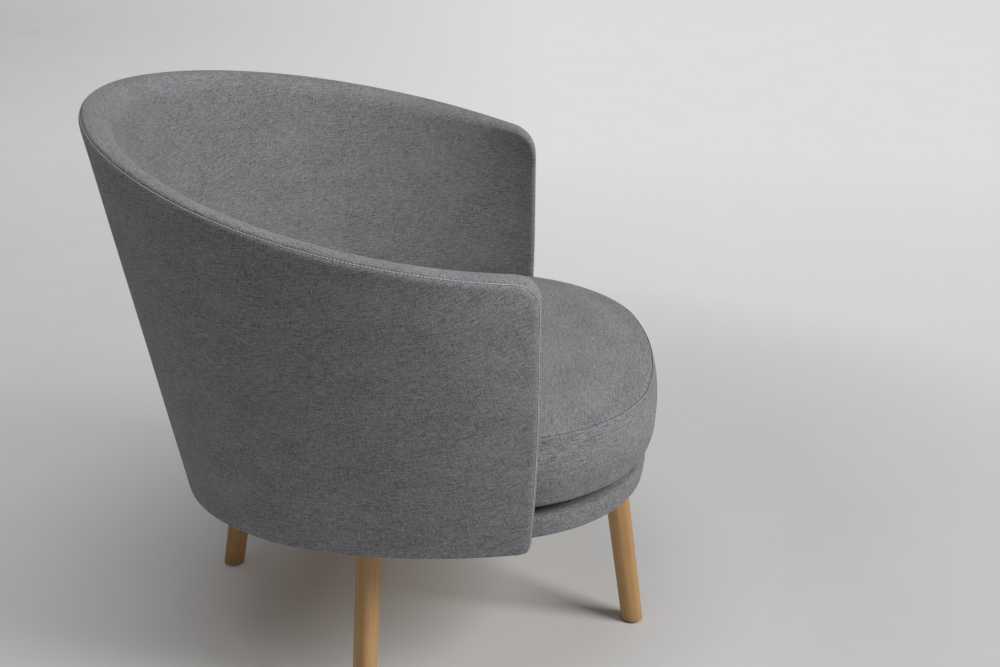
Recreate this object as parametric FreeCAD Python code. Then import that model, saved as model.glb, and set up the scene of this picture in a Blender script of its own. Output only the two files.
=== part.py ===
import FreeCAD, Part
import math
import os

# A round tub lounge chair that turns on four splayed wooden legs.
# Millimetres, +Z up, the sitter faces -Y. Everything is drawn round the swivel's upright axis
# and is moved at the end, so that the origin is below the middle of the chair's own box.
# Plan angles start at the back of the chair and run towards -X, the sitter's right hand.

V = FreeCAD.Vector
UP = V(0, 0, 1)
FULL_TURN = 360
RIGHT_ANGLE = 90

# General
OVERRUN = 20.0              # how far a cutting shape runs past what it cuts
SOFT_GAP = 0.3              # between a soft layer and what it lies against
METAL_GAP = 0.1             # round a bolt in its hole or thread
FABRIC = 1.2                # thickness of the woven cover

# Plan outlines, mirrored about the chair's middle: tangent arcs from the back to the front, their radii
# as shares of the outline's reach behind the swivel axis, and the turn at which each arc ends
BASE_REACH = 298.7
SEAT_SIDE_RADIUS_SHARE = 1.9367
SEAT_SIDE_TURN = 12.05
SHELL_CLEARANCE = 2.0       # between the seat base and the shell's foot
SHELL_FLARE = 87.2          # how far the back leans out between the shell's foot and the brim level
SHELL_TURNS = (17.5, 50.4, 81.3, 140)
SHELL_FOOT_RADIUS_SHARES = (1.5864, 0.6615, 0.9162, 1.8059)
SHELL_BRIM_RADIUS_SHARES = (1.0310, 1.0349, 0.8457, 0.8158)

# Shell: a flared wall, cut by a side profile
SHELL_FOOT_HEIGHT = 242.5   # underside of the arm and back shell
ARM_FRONT = 144.4           # the arms' front edges, ahead of the swivel axis
RIM_BACK_HEIGHT = 717.5     # rim height at the back
RIM_FALL = 119.5            # how much lower the rim is above the arms' front edges
BRIM_DROP = 90.5            # from the rim at the back down to the level at which the brim plan is taken
RIM_SAG = 3.5               # the rim line hangs this much below a straight line
ARM_CORNER_RADIUS = 44.0    # rounding of the arms' top front corners, seen from the side
WALL_AT_FOOT = 19.2
WALL_AT_BRIM = 34.2
RIM_OUTER_ROUNDING = 9.0
RIM_INNER_ROUNDING = 17.0
FOOT_ROUNDING = 3.0
SEAM_DROP = 4.0             # the outer panel's seam lies this far inside the wall's own edge
CORE_THICKNESS = 9.0        # moulded plywood
OUTER_FOAM = 4.0
CORE_EDGE_COVER = 12.0      # foam and cover over the core's rim and front edges

# Seat base: an upholstered disc with a recess below for the leg plate
BASE_RISE = 6.0             # from the shell's foot up to the seat base's underside
BASE_TOP_ROUNDING = 12.0
BASE_LOWER_ROUNDING = 6.0
BASE_EDGE_FOAM = 5.5
BASE_TOP_FOAM = 3.0
BASE_COVER_TURN_UNDER = 8.0  # width of cover that is folded under the ring
SEAT_BOARD_THICKNESS = 12.0
BOARD_EDGE_CHAMFER = 2.0
RING_BORDER = 19.7          # from the recess for the leg plate to the middle of the base's sides

# Seat cushion
CUSHION_CLEARANCE = 8.4     # between the cushion's side, where it bulges most, and the back
CUSHION_SEAM_HEIGHT = 92.5  # from the cushion's underside
CUSHION_CROWN = 14.0        # rise from the seam to the top
CROWN_WIDTH = 190.0         # from the seam to the flat middle of the top
BULGE_HEIGHT = 47.0
BULGE_RADIUS = 162.0        # of the side, seen in section
LOWER_EDGE_ROUNDING = 13.0
ZIP_HALF_ANGLE = 50
ZIP_SLIDER_ANGLE = 45
ZIP_HEIGHT = 45.0
ZIP_WIDTH = 16.0
SLIDER_LENGTH = 11.0
SLIDER_WIDTH = 7.0
SLIDER_THICKNESS = 1.6

# Legs, turned on the seat's axis as the photographed chair stands
LEG_TURN = -12.1
SEAT_TURN = 0
LEG_COUNT = 4
LEG_EDGE_DISTANCE = 17.1    # from the leg's own axis, at its top, to the leg plate's edge
LEG_SPLAY = 40.5            # how far the foot stands out beyond the leg's top
LEG_TOP_DIAMETER = 32.6
LEG_FOOT_DIAMETER = 29.2
LEG_BOLT_DIAMETER = 8.0
LEG_BOLT_GRIP = 45.0        # length of bolt in the leg
LEG_INSERT_DIAMETER = 13.0
LEG_INSERT_COVER = 2.0      # plywood left above the insert
GLIDE_THICKNESS = 3.0
GLIDE_DIAMETER = 23.0
GLIDE_PIN_DIAMETER = 4.0
GLIDE_PIN_LENGTH = 14.0

# Leg plate and swivel
LEG_PLATE_CLEARANCE = 3.4   # round the plate, in the seat base's recess
LEG_PLATE_THICKNESS = 16.0
LEG_PLATE_RECESS = 1.0      # the plate's underside lies this far inside the seat base
LEG_PLATE_CHAMFER = 1.0
SWIVEL_HEIGHT = 8.0
SWIVEL_SIDE = 200.0
SWIVEL_CORNER = 22.0
SWIVEL_SHEET = 2.0
SWIVEL_SCREW_SPACING = 156.0
SLIDE_RING_RADIUS = 72.0     # middle of the ring's width
SLIDE_RING_WIDTH = 14.0
GROOVE_DEPTH = 1.0          # of the slide ring in the lower plate
SLIDE_GAP = 0.05
RIVET_DIAMETER = 16.0
RIVET_HEAD_DIAMETER = 24.0
RIVET_HEAD_THICKNESS = 2.0
RIVET_BORE = 9.0
PIVOT_GAP = 0.08
SCREW_DIAMETER = 4.5
SCREW_LENGTH = 11.0
SCREW_HEAD_DIAMETER = 8.5
SCREW_HEAD_THICKNESS = 1.5
SCREW_ACCESS_DIAMETER = 18.0

# Bolts that hold the shell to the seat base
SHELL_BOLT_ANGLES = (-106, -90, -45, 0, 45, 90, 106)
SHELL_BOLT_LEVEL = 12.5     # below the seat board
SHELL_BOLT_DIAMETER = 6.0
SHELL_BOLT_HEAD_DIAMETER = 11.0
SHELL_BOLT_HEAD_THICKNESS = 4.0
SHELL_INSERT_DIAMETER = 10.0
SHELL_INSERT_COVER = 2.0    # plywood left outside the insert
SPACER_DIAMETER = 15.0

# Sizes that follow from those above
SEAT_SIDE_RADIUS = BASE_REACH * SEAT_SIDE_RADIUS_SHARE
SHELL_FOOT_REACH = BASE_REACH + SHELL_CLEARANCE + WALL_AT_FOOT
SHELL_BRIM_REACH = SHELL_FOOT_REACH + SHELL_FLARE
SHELL_FOOT_RADII = [SHELL_FOOT_REACH * share for share in SHELL_FOOT_RADIUS_SHARES]
SHELL_BRIM_RADII = [SHELL_BRIM_REACH * share for share in SHELL_BRIM_RADIUS_SHARES]
RIM_FRONT_HEIGHT = RIM_BACK_HEIGHT - RIM_FALL
BRIM_LEVEL = RIM_BACK_HEIGHT - BRIM_DROP
RIM_LEVEL_SHARE = (RIM_BACK_HEIGHT - SHELL_FOOT_HEIGHT) / (BRIM_LEVEL - SHELL_FOOT_HEIGHT)
RIM_BACK_REACH = SHELL_FOOT_REACH + SHELL_FLARE * RIM_LEVEL_SHARE
RECESS_RADIUS = BASE_REACH - RING_BORDER
LEG_PLATE_RADIUS = RECESS_RADIUS - LEG_PLATE_CLEARANCE
LEG_TOP_REACH = LEG_PLATE_RADIUS - LEG_EDGE_DISTANCE
LEG_FOOT_REACH = LEG_TOP_REACH + LEG_SPLAY
BASE_UNDERSIDE = SHELL_FOOT_HEIGHT + BASE_RISE
LEG_PLATE_UNDERSIDE = BASE_UNDERSIDE + LEG_PLATE_RECESS
LEG_PLATE_TOP = LEG_PLATE_UNDERSIDE + LEG_PLATE_THICKNESS
SEAT_BOARD_UNDERSIDE = LEG_PLATE_TOP + SWIVEL_HEIGHT
SEAT_BOARD_TOP = SEAT_BOARD_UNDERSIDE + SEAT_BOARD_THICKNESS
BASE_TOP = SEAT_BOARD_TOP + BASE_TOP_FOAM + FABRIC
SEAT_RING_UNDERSIDE = BASE_UNDERSIDE + FABRIC + SOFT_GAP
CUSHION_UNDERSIDE = BASE_TOP + SOFT_GAP
SHELL_BOLT_HEIGHT = SEAT_BOARD_UNDERSIDE - SHELL_BOLT_LEVEL
RING_INSET = FABRIC + BASE_EDGE_FOAM
BULGE_LEVEL = CUSHION_UNDERSIDE + BULGE_HEIGHT
CUSHION_LEVEL_SHARE = (BULGE_LEVEL - SHELL_FOOT_HEIGHT) / (BRIM_LEVEL - SHELL_FOOT_HEIGHT)
BACK_WALL = WALL_AT_FOOT + (WALL_AT_BRIM - WALL_AT_FOOT) * CUSHION_LEVEL_SHARE
CUSHION_REACH = SHELL_FOOT_REACH + SHELL_FLARE * CUSHION_LEVEL_SHARE - BACK_WALL - CUSHION_CLEARANCE
FULL_WIDTH = 2 * (SHELL_BRIM_REACH + RIM_BACK_REACH)


def direction(angle):
    """The level unit vector at a plan angle."""
    a = math.radians(angle)
    return V(-math.sin(a), math.cos(a), 0)


def arc(centre, radius, start, end):
    """A level arc between two plan angles."""
    points = [centre + direction(turn) * radius for turn in (start, (start + end) / 2, end)]
    return Part.Arc(*points).toShape()


def outline(reach, radii, turns, inset, height):
    """A closed level outline of tangent arcs, drawn in by an inset. A line closes an open front."""
    centre = V(0, reach - radii[0], height)
    right = [arc(centre, radii[0] - inset, -turns[0], turns[0])]
    left = []
    for i in range(1, len(radii)):
        centre = centre + direction(turns[i - 1]) * (radii[i - 1] - radii[i])
        if turns[i] == FULL_TURN / 2:
            right.append(arc(centre, radii[i] - inset, turns[i - 1], FULL_TURN - turns[i - 1]))
        else:
            right.append(arc(centre, radii[i] - inset, turns[i - 1], turns[i]))
            mirrored = V(-centre.x, centre.y, centre.z)
            left.insert(0, arc(mirrored, radii[i] - inset, -turns[i], -turns[i - 1]))
    if turns[-1] < FULL_TURN / 2:
        right.append(Part.makeLine(right[-1].Vertexes[-1].Point, left[0].Vertexes[0].Point))
    return Part.Wire(right + left)


def seat_arcs(reach):
    """Radii and turns of the rounded-square seat plan whose sides are this far from the axis."""
    turn = math.radians(SEAT_SIDE_TURN)
    corner = SEAT_SIDE_RADIUS - (SEAT_SIDE_RADIUS - reach) / (math.cos(turn) - math.sin(turn))
    turns = (SEAT_SIDE_TURN, RIGHT_ANGLE - SEAT_SIDE_TURN, RIGHT_ANGLE + SEAT_SIDE_TURN,
             FULL_TURN / 2 - SEAT_SIDE_TURN, FULL_TURN / 2)
    return (SEAT_SIDE_RADIUS, corner) * 2 + (SEAT_SIDE_RADIUS,), turns


def seat_outline(reach, inset, height):
    """The seat's rounded-square plan, drawn in by an inset."""
    radii, turns = seat_arcs(reach)
    return outline(reach, radii, turns, inset, height)


def seat_prism(reach, inset, low, high):
    """An upright block with the seat's plan."""
    return Part.Face(seat_outline(reach, inset, low)).extrude(UP * (high - low))


def cylinder(radius, low, high):
    """An upright cylinder on the swivel axis."""
    return Part.makeCylinder(radius, high - low, UP * low)


def solid(shape):
    """The single solid of a result."""
    return shape.Solids[0]


def reach_to(shape, angle, height):
    """How far a level ray from the axis runs inside a shape."""
    ray = Part.makeLine(UP * height, direction(angle) * FULL_WIDTH + UP * height)
    return ray.common(shape).Length


def shell_outline(share, inset_foot, inset_brim):
    """The shell's plan at a share of the way up from its foot (0) to the brim level (1)."""
    def between(foot, brim):
        """A value at this level."""
        return foot + (brim - foot) * share
    radii = [between(*pair) for pair in zip(SHELL_FOOT_RADII, SHELL_BRIM_RADII)]
    reach = between(SHELL_FOOT_REACH, SHELL_BRIM_REACH)
    height = between(SHELL_FOOT_HEIGHT, BRIM_LEVEL)
    return outline(reach, radii, SHELL_TURNS, between(inset_foot, inset_brim), height)


def flared_cone(inset_foot, inset_brim):
    """The space inside the shell's outer face or a layer of it, from below its foot to above its rim."""
    rise = BRIM_LEVEL - SHELL_FOOT_HEIGHT
    shares = (-OVERRUN / rise, (RIM_BACK_HEIGHT + OVERRUN - SHELL_FOOT_HEIGHT) / rise)
    return Part.makeLoft([shell_outline(share, inset_foot, inset_brim) for share in shares], True, True)


def side_profile(inset, foot):
    """A block across the chair: all that lies behind the arms' front edges and below the rim."""
    front = -ARM_FRONT + inset
    back = RIM_BACK_REACH + OVERRUN
    slope = (RIM_BACK_HEIGHT - RIM_FRONT_HEIGHT) / (RIM_BACK_REACH + ARM_FRONT)
    lower = inset * math.hypot(1, slope)

    def rim(y):
        """A point on the rim line."""
        share = (y + ARM_FRONT) / (RIM_BACK_REACH + ARM_FRONT)
        sag = 4 * RIM_SAG * share * (1 - share)
        return V(-FULL_WIDTH / 2, y, RIM_FRONT_HEIGHT + slope * (y + ARM_FRONT) - sag - lower)

    corners = [V(-FULL_WIDTH / 2, back, foot), V(-FULL_WIDTH / 2, front, foot)]
    line = Part.Arc(rim(front), rim((front + back) / 2), rim(back)).toShape()
    edges = [
        Part.makeLine(corners[0], corners[1]),
        Part.makeLine(corners[1], rim(front)),
        line,
        Part.makeLine(rim(back), corners[0]),
    ]
    block = Part.Face(Part.Wire(edges)).extrude(V(FULL_WIDTH, 0, 0))
    top_front = [e for e in block.Edges if all((v.Point - rim(front)).cross(V(1, 0, 0)).Length < FABRIC
                                               for v in e.Vertexes)]
    return block.makeFillet(ARM_CORNER_RADIUS - inset, top_front)


def wall(outset, inset, edge, foot):
    """A layer of the shell, between two depths from its outer face, cut by the side profile."""
    outer = flared_cone(outset, outset)
    inner = flared_cone(*inset)
    return solid(outer.cut(inner).common(side_profile(edge, foot)))


def rounded_wall(inset):
    """The whole upholstered wall, drawn in by an inset on every side, with its soft rim and ends."""
    depth = (WALL_AT_FOOT - inset, WALL_AT_BRIM - inset)
    foot = SHELL_FOOT_HEIGHT + inset
    shape = wall(inset, depth, inset, foot)
    near_outer = flared_cone(inset + FABRIC, inset + FABRIC)
    near_inner = flared_cone(depth[0] - FABRIC, depth[1] - FABRIC)
    within_edges = side_profile(inset + FABRIC, foot + FABRIC)

    def border(layer, inner):
        """Edges at the wall's border that run along its inner or outer face."""
        return [e for e in shape.Edges
                if all(layer.isInside(v.Point, METAL_GAP, True) == inner for v in e.Vertexes)
                and not within_edges.isInside(e.CenterOfMass, METAL_GAP, True)]

    def above_foot(edges):
        """Those that run round the rim and down the arms' ends."""
        return [e for e in edges if e.BoundBox.ZMax > foot + FABRIC]

    shape = shape.makeFillet(RIM_INNER_ROUNDING - inset, above_foot(border(near_inner, True)))
    shape = shape.makeFillet(RIM_OUTER_ROUNDING - inset, above_foot(border(near_outer, False)))
    lower = [e for e in border(near_outer, False) if e.BoundBox.ZMax < foot + FABRIC]
    return solid(shape.makeFillet(FOOT_ROUNDING - inset, lower))


def core_layer(gap, foot):
    """The plywood core's wall, grown by a gap on every side."""
    outset = FABRIC + OUTER_FOAM - gap
    inset = FABRIC + OUTER_FOAM + CORE_THICKNESS + gap
    return wall(outset, (inset, inset), CORE_EDGE_COVER - gap, foot)


def core_inner_face(gap):
    """The space inside the core's inner face, less a gap."""
    depth = FABRIC + OUTER_FOAM + CORE_THICKNESS + gap
    return flared_cone(depth, depth)


def radial_rod(angle, start, end, radius):
    """A level rod that points away from the axis."""
    return Part.makeCylinder(radius, end - start, direction(angle) * start + UP * SHELL_BOLT_HEIGHT,
                             direction(angle))


def shell_fixings():
    """Bolts, spacers and inserts that hold the shell to the seat ring, and the holes they need."""
    bolts, spacers, inserts, ring_holes, soft_holes, core_holes = [], [], [], [], [], []
    ring_space = seat_prism(BASE_REACH, RING_INSET, SEAT_RING_UNDERSIDE, BASE_TOP)
    beyond_ring = seat_prism(BASE_REACH, RING_INSET - METAL_GAP, SEAT_RING_UNDERSIDE, BASE_TOP)
    inside_core = core_inner_face(METAL_GAP)
    core_space = core_inner_face(0)
    core_face = flared_cone(FABRIC + OUTER_FOAM, FABRIC + OUTER_FOAM)
    bolt_radius = SHELL_BOLT_DIAMETER / 2
    head_radius = SHELL_BOLT_HEAD_DIAMETER / 2
    for angle in SHELL_BOLT_ANGLES:
        outer = reach_to(core_face, angle, SHELL_BOLT_HEIGHT)
        tip = outer - SHELL_INSERT_COVER
        seat = RECESS_RADIUS + SHELL_BOLT_HEAD_THICKNESS
        ring = reach_to(ring_space, angle, SHELL_BOLT_HEIGHT)
        head = radial_rod(angle, RECESS_RADIUS + METAL_GAP, seat + METAL_GAP, head_radius)
        bolts.append(head.fuse(radial_rod(angle, seat, tip, bolt_radius)))
        sleeve = radial_rod(angle, ring - OVERRUN / 2, outer, SPACER_DIAMETER / 2)
        sleeve = sleeve.cut(radial_rod(angle, ring - OVERRUN, outer, bolt_radius + METAL_GAP))
        spacers.append(sleeve.cut(beyond_ring).common(inside_core))
        socket = radial_rod(angle, outer - OVERRUN, tip, SHELL_INSERT_DIAMETER / 2)
        socket = socket.cut(radial_rod(angle, outer - OVERRUN, tip, bolt_radius + METAL_GAP))
        inserts.append(socket.cut(core_space))
        ring_holes.append(radial_rod(angle, seat + METAL_GAP, ring + OVERRUN, bolt_radius + METAL_GAP))
        counterbore = radial_rod(angle, RECESS_RADIUS - OVERRUN, seat + METAL_GAP, head_radius + SOFT_GAP)
        ring_holes.append(counterbore)
        soft_holes.append(radial_rod(angle, ring - OVERRUN, outer - CORE_THICKNESS / 2,
                                     SPACER_DIAMETER / 2 + SOFT_GAP))
        core_holes.append(radial_rod(angle, outer - OVERRUN, tip, SHELL_INSERT_DIAMETER / 2 + METAL_GAP))
    groups = (bolts, spacers, inserts, ring_holes, soft_holes, core_holes)
    return [Part.makeCompound(group) for group in groups]


def shell(soft_holes, core_holes):
    """The arm and back shell: a plywood core between two padded covers that are sewn together at its edge."""
    open_foot = SHELL_FOOT_HEIGHT - OVERRUN
    padding = rounded_wall(0).cut(core_layer(SOFT_GAP, open_foot))
    behind_panel = FABRIC + OUTER_FOAM - SOFT_GAP / 2
    panel_zone = flared_cone(-FABRIC, -FABRIC).cut(flared_cone(behind_panel, behind_panel))
    panel_zone = panel_zone.common(side_profile(SEAM_DROP, open_foot))
    core = core_layer(0, SHELL_FOOT_HEIGHT + FABRIC + SOFT_GAP)
    return {
        "shell_core": solid(core.cut(core_holes)),
        "shell_outer_cover": solid(padding.common(panel_zone)),
        "shell_inner_cover": solid(padding.cut(panel_zone).cut(soft_holes)),
    }


def base_shape(inset):
    """The upholstered seat base, drawn in by an inset on every side."""
    low, high = BASE_UNDERSIDE + inset, BASE_TOP - inset
    block = seat_prism(BASE_REACH, inset, low, high)
    upper = [e for e in block.Edges if e.BoundBox.ZMin > high - FABRIC]
    block = block.makeFillet(BASE_TOP_ROUNDING - inset, upper)
    lower = [e for e in block.Edges if e.BoundBox.ZMax < low + FABRIC]
    return block.makeFillet(BASE_LOWER_ROUNDING - inset, lower)


def seat_base(ring_holes, soft_holes):
    """The seat base: a plywood ring and board with foam and a fitted cover."""
    ring = seat_prism(BASE_REACH, RING_INSET, SEAT_RING_UNDERSIDE, SEAT_BOARD_UNDERSIDE)
    ring = ring.cut(cylinder(RECESS_RADIUS, SEAT_RING_UNDERSIDE - OVERRUN, BASE_TOP))
    board = seat_prism(BASE_REACH, RING_INSET, SEAT_BOARD_UNDERSIDE, SEAT_BOARD_TOP)
    top_edge = [e for e in board.Edges if e.BoundBox.ZMin > SEAT_BOARD_TOP - FABRIC]
    board = board.makeChamfer(BOARD_EDGE_CHAMFER, top_edge)
    board = board.cut(cylinder(RIVET_HEAD_DIAMETER, SEAT_BOARD_UNDERSIDE - OVERRUN, BASE_TOP))
    board = board.cut(Part.makeCompound(screw_pilots(SEAT_TURN, SEAT_BOARD_UNDERSIDE, 1)))
    frame = seat_prism(BASE_REACH, RING_INSET - SOFT_GAP, BASE_UNDERSIDE + FABRIC, SEAT_BOARD_TOP + SOFT_GAP)
    opening = seat_prism(BASE_REACH, RING_INSET + BASE_COVER_TURN_UNDER, BASE_UNDERSIDE - OVERRUN,
                         SEAT_BOARD_UNDERSIDE)
    return {
        "seat_ring": solid(ring.cut(ring_holes)),
        "seat_board": solid(board),
        "seat_base_cover": solid(base_shape(0).cut(frame).cut(opening).cut(soft_holes)),
    }


def meeting_point(first, first_radius, second, second_radius):
    """The outward one of two circles' meeting points, in a section plane."""
    apart = second - first
    distance = apart.Length
    along = (distance ** 2 + first_radius ** 2 - second_radius ** 2) / (2 * distance)
    across = math.sqrt(first_radius ** 2 - along ** 2)
    apart.normalize()
    sideways = V(apart.y, -apart.x, 0)
    return max((first + apart * along + sideways * side for side in (across, -across)), key=lambda p: p.x)


def section_arc(centre, radius, start, end):
    """An arc round a centre between two points in a section plane."""
    middle = (start + end) / 2 - centre
    return (start, centre + middle.normalize() * radius, end)


def cushion_section(inset):
    """Section of the cushion's border: its arcs as points (outward from the border's inner edge, up)."""
    width = CUSHION_REACH - cushion_core_reach()
    bulge = V(width - BULGE_RADIUS, BULGE_HEIGHT, 0)
    seam_lift = CUSHION_SEAM_HEIGHT - BULGE_HEIGHT
    seam = V(bulge.x + math.sqrt(BULGE_RADIUS ** 2 - seam_lift ** 2), CUSHION_SEAM_HEIGHT, 0)
    crown_radius = (CROWN_WIDTH ** 2 + CUSHION_CROWN ** 2) / (2 * CUSHION_CROWN)
    crown = V(seam.x - CROWN_WIDTH, CUSHION_SEAM_HEIGHT + CUSHION_CROWN - crown_radius, 0)
    reach = BULGE_RADIUS - LOWER_EDGE_ROUNDING
    drop = BULGE_HEIGHT - LOWER_EDGE_ROUNDING
    lower = V(bulge.x + math.sqrt(reach ** 2 - drop ** 2), LOWER_EDGE_ROUNDING, 0)
    outward = (lower - bulge).normalize()
    start = V(lower.x, inset, 0)
    joint = lower + outward * (LOWER_EDGE_ROUNDING - inset)
    corner = meeting_point(bulge, BULGE_RADIUS - inset, crown, crown_radius - inset)
    top = V(crown.x, crown.y + crown_radius - inset, 0)
    return [section_arc(lower, LOWER_EDGE_ROUNDING - inset, start, joint),
            section_arc(bulge, BULGE_RADIUS - inset, joint, corner),
            section_arc(crown, crown_radius - inset, corner, top)]


def cushion_core_reach():
    """How far the flat middle of the cushion's top runs from the axis."""
    seam_lift = CUSHION_SEAM_HEIGHT - BULGE_HEIGHT
    drawn_in = BULGE_RADIUS - math.sqrt(BULGE_RADIUS ** 2 - seam_lift ** 2)
    return CUSHION_REACH - drawn_in - CROWN_WIDTH


def cushion_body(inset):
    """The seat cushion, drawn in by an inset: a swelling side up to its seam, and a crowned top."""
    middle = CUSHION_REACH - cushion_core_reach()
    path = seat_outline(CUSHION_REACH, middle, 0)
    start = path.Edges[0].Vertexes[0].Point
    outward = direction(-SEAT_SIDE_TURN)

    def placed(p):
        """A section point in the chair."""
        return start + outward * p.x + UP * (CUSHION_UNDERSIDE + p.y)

    arcs = [Part.Arc(*[placed(p) for p in points]).toShape() for points in cushion_section(inset)]
    first = arcs[0].Vertexes[0].Point
    last = arcs[-1].Vertexes[-1].Point
    low, high = V(start.x, start.y, first.z), V(start.x, start.y, last.z)
    inner = Part.makeLine(high, low)
    section = Part.Wire([Part.makeLine(low, first)] + arcs + [inner])
    border = path.makePipeShell([section], True, False)
    block = seat_prism(CUSHION_REACH, middle, first.z, last.z)
    return solid(border.fuse(block).removeSplitter())


def cushion():
    """The loose seat cushion: foam core, sewn cover, and the zip at its back."""
    skin = cushion_body(0).cut(cushion_body(FABRIC))
    level = CUSHION_UNDERSIDE + ZIP_HEIGHT
    sector = Part.makeCylinder(FULL_WIDTH / 2, ZIP_WIDTH, UP * (level - ZIP_WIDTH / 2), UP,
                               2 * ZIP_HALF_ANGLE)
    sector.rotate(V(0, 0, 0), UP, RIGHT_ANGLE - ZIP_HALF_ANGLE)
    side = reach_to(cushion_body(0), ZIP_SLIDER_ANGLE, level)
    slider = Part.makeBox(SLIDER_LENGTH, SLIDER_THICKNESS, SLIDER_WIDTH,
                          V(-SLIDER_LENGTH / 2, side + SOFT_GAP, level - SLIDER_WIDTH / 2))
    slider = slider.makeChamfer(SLIDER_THICKNESS / 4, slider.Edges)
    slider.rotate(V(0, 0, 0), UP, ZIP_SLIDER_ANGLE)
    return {
        "cushion_core": cushion_body(FABRIC + SOFT_GAP),
        "cushion_cover": solid(skin.cut(sector)),
        "cushion_zip": solid(skin.common(sector)),
        "zip_slider": solid(slider),
    }


def screw_places(turn, height):
    """The swivel plate's four screw places, turned about the axis."""
    half = SWIVEL_SCREW_SPACING / 2
    reach = half * math.sqrt(2)
    corner = FULL_TURN / 8
    return [direction(turn + corner + RIGHT_ANGLE * i) * reach + UP * height for i in range(4)]


def screw_pilots(turn, height, way):
    """Holes for the swivel's screws, upwards (1) or downwards (-1) from a face."""
    radius = SCREW_DIAMETER / 2 + METAL_GAP
    length = SCREW_LENGTH + METAL_GAP
    return [Part.makeCylinder(radius, length, place, UP * way) for place in screw_places(turn, height)]


def swivel_screws(turn, face, way):
    """Pan-head screws through a swivel plate. The head lies on the plate's inner face."""
    screws = []
    for place in screw_places(turn, face):
        head = Part.makeCylinder(SCREW_HEAD_DIAMETER / 2, SCREW_HEAD_THICKNESS, place, UP * -way)
        tip = [e for e in head.Edges if abs((e.BoundBox.ZMin + e.BoundBox.ZMax) / 2 - place.z) > METAL_GAP
               and len(e.Vertexes) == 1]
        head = head.makeChamfer(SCREW_HEAD_THICKNESS / 2, tip)
        screws.append(head.fuse(Part.makeCylinder(SCREW_DIAMETER / 2, SCREW_LENGTH, place, UP * way)))
    return Part.makeCompound(screws)


def swivel_plate(turn, low, bore):
    """A square pressed plate with rounded corners, a bore and screw holes."""
    half = SWIVEL_SIDE / 2
    plate = Part.makeBox(SWIVEL_SIDE, SWIVEL_SIDE, SWIVEL_SHEET, V(-half, -half, low))
    upright = [e for e in plate.Edges if e.BoundBox.ZLength > SWIVEL_SHEET / 2]
    plate = plate.makeFillet(SWIVEL_CORNER, upright)
    plate.rotate(V(0, 0, 0), UP, turn)
    holes = [Part.makeCylinder(SCREW_DIAMETER / 2 + METAL_GAP, SWIVEL_SHEET + OVERRUN, place, UP)
             for place in screw_places(turn, low - OVERRUN / 2)]
    return plate.cut(cylinder(bore, low - OVERRUN, low + OVERRUN)).cut(Part.makeCompound(holes))


def ring_band(widening, low, high):
    """The slide ring's band, or the groove it lies in."""
    half = SLIDE_RING_WIDTH / 2 + widening
    outer = cylinder(SLIDE_RING_RADIUS + half, low, high)
    return outer.cut(cylinder(SLIDE_RING_RADIUS - half, low - OVERRUN, high + OVERRUN))


def swivel():
    """The swivel: two plates, a slide ring in a groove of the lower one, a hollow rivet and its screws."""
    lower_top = LEG_PLATE_TOP + SWIVEL_SHEET
    upper_underside = SEAT_BOARD_UNDERSIDE - SWIVEL_SHEET
    groove = lower_top - GROOVE_DEPTH
    shank = RIVET_DIAMETER / 2
    head = RIVET_HEAD_DIAMETER / 2
    top = SEAT_BOARD_UNDERSIDE + PIVOT_GAP + RIVET_HEAD_THICKNESS
    rivet = cylinder(shank, LEG_PLATE_TOP - RIVET_HEAD_THICKNESS, top)
    rivet = rivet.fuse(cylinder(head, LEG_PLATE_TOP - RIVET_HEAD_THICKNESS, LEG_PLATE_TOP))
    rivet = rivet.fuse(cylinder(head, SEAT_BOARD_UNDERSIDE + PIVOT_GAP, top))
    rivet = rivet.cut(cylinder(RIVET_BORE / 2, LEG_PLATE_TOP - OVERRUN, top + OVERRUN))
    lower_plate = swivel_plate(LEG_TURN, LEG_PLATE_TOP, shank)
    return {
        "swivel_lower_plate": solid(lower_plate.cut(ring_band(METAL_GAP, groove, groove + OVERRUN))),
        "swivel_upper_plate": solid(swivel_plate(SEAT_TURN, upper_underside, shank + PIVOT_GAP)),
        "swivel_rivet": solid(rivet),
        "slide_ring": solid(ring_band(0, groove, upper_underside - SLIDE_GAP)),
        "swivel_lower_screws": swivel_screws(LEG_TURN, lower_top, -1),
        "swivel_upper_screws": swivel_screws(SEAT_TURN, upper_underside, 1),
    }


def leg_axis(index):
    """The top of a leg's axis, at the leg plate, and the unit vector that runs up along it."""
    outward = direction(LEG_TURN + FULL_TURN / LEG_COUNT * index)
    top = outward * LEG_TOP_REACH + UP * LEG_PLATE_UNDERSIDE
    return top, (top - outward * LEG_FOOT_REACH).normalize()


def leg_rod(index, below, above, radius):
    """A rod on a leg's axis, from below to above the leg's top."""
    top, along = leg_axis(index)
    return Part.makeCylinder(radius, below + above, top - along * below, along)


def slab(low, high):
    """A wide level slab."""
    return cylinder(FULL_WIDTH / 2, low, high)


def leg(index):
    """One turned and tapered leg, cut level at the leg plate and at the glide."""
    top, along = leg_axis(index)
    length = LEG_PLATE_UNDERSIDE / along.z
    taper = (LEG_TOP_DIAMETER - LEG_FOOT_DIAMETER) / 2 / length
    start = top - along * (length + OVERRUN)
    shape = Part.makeCone(LEG_FOOT_DIAMETER / 2 - taper * OVERRUN, LEG_TOP_DIAMETER / 2 + taper * OVERRUN,
                          length + 2 * OVERRUN, start, along)
    shape = shape.common(slab(GLIDE_THICKNESS, LEG_PLATE_UNDERSIDE))
    bolt = leg_rod(index, LEG_BOLT_GRIP + METAL_GAP, OVERRUN, LEG_BOLT_DIAMETER / 2 + METAL_GAP)
    pin = Part.makeCylinder(GLIDE_PIN_DIAMETER / 2 + METAL_GAP, GLIDE_PIN_LENGTH + METAL_GAP + OVERRUN,
                            glide_centre(index) - UP * OVERRUN)
    return solid(shape.cut(bolt).cut(pin))


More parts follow.
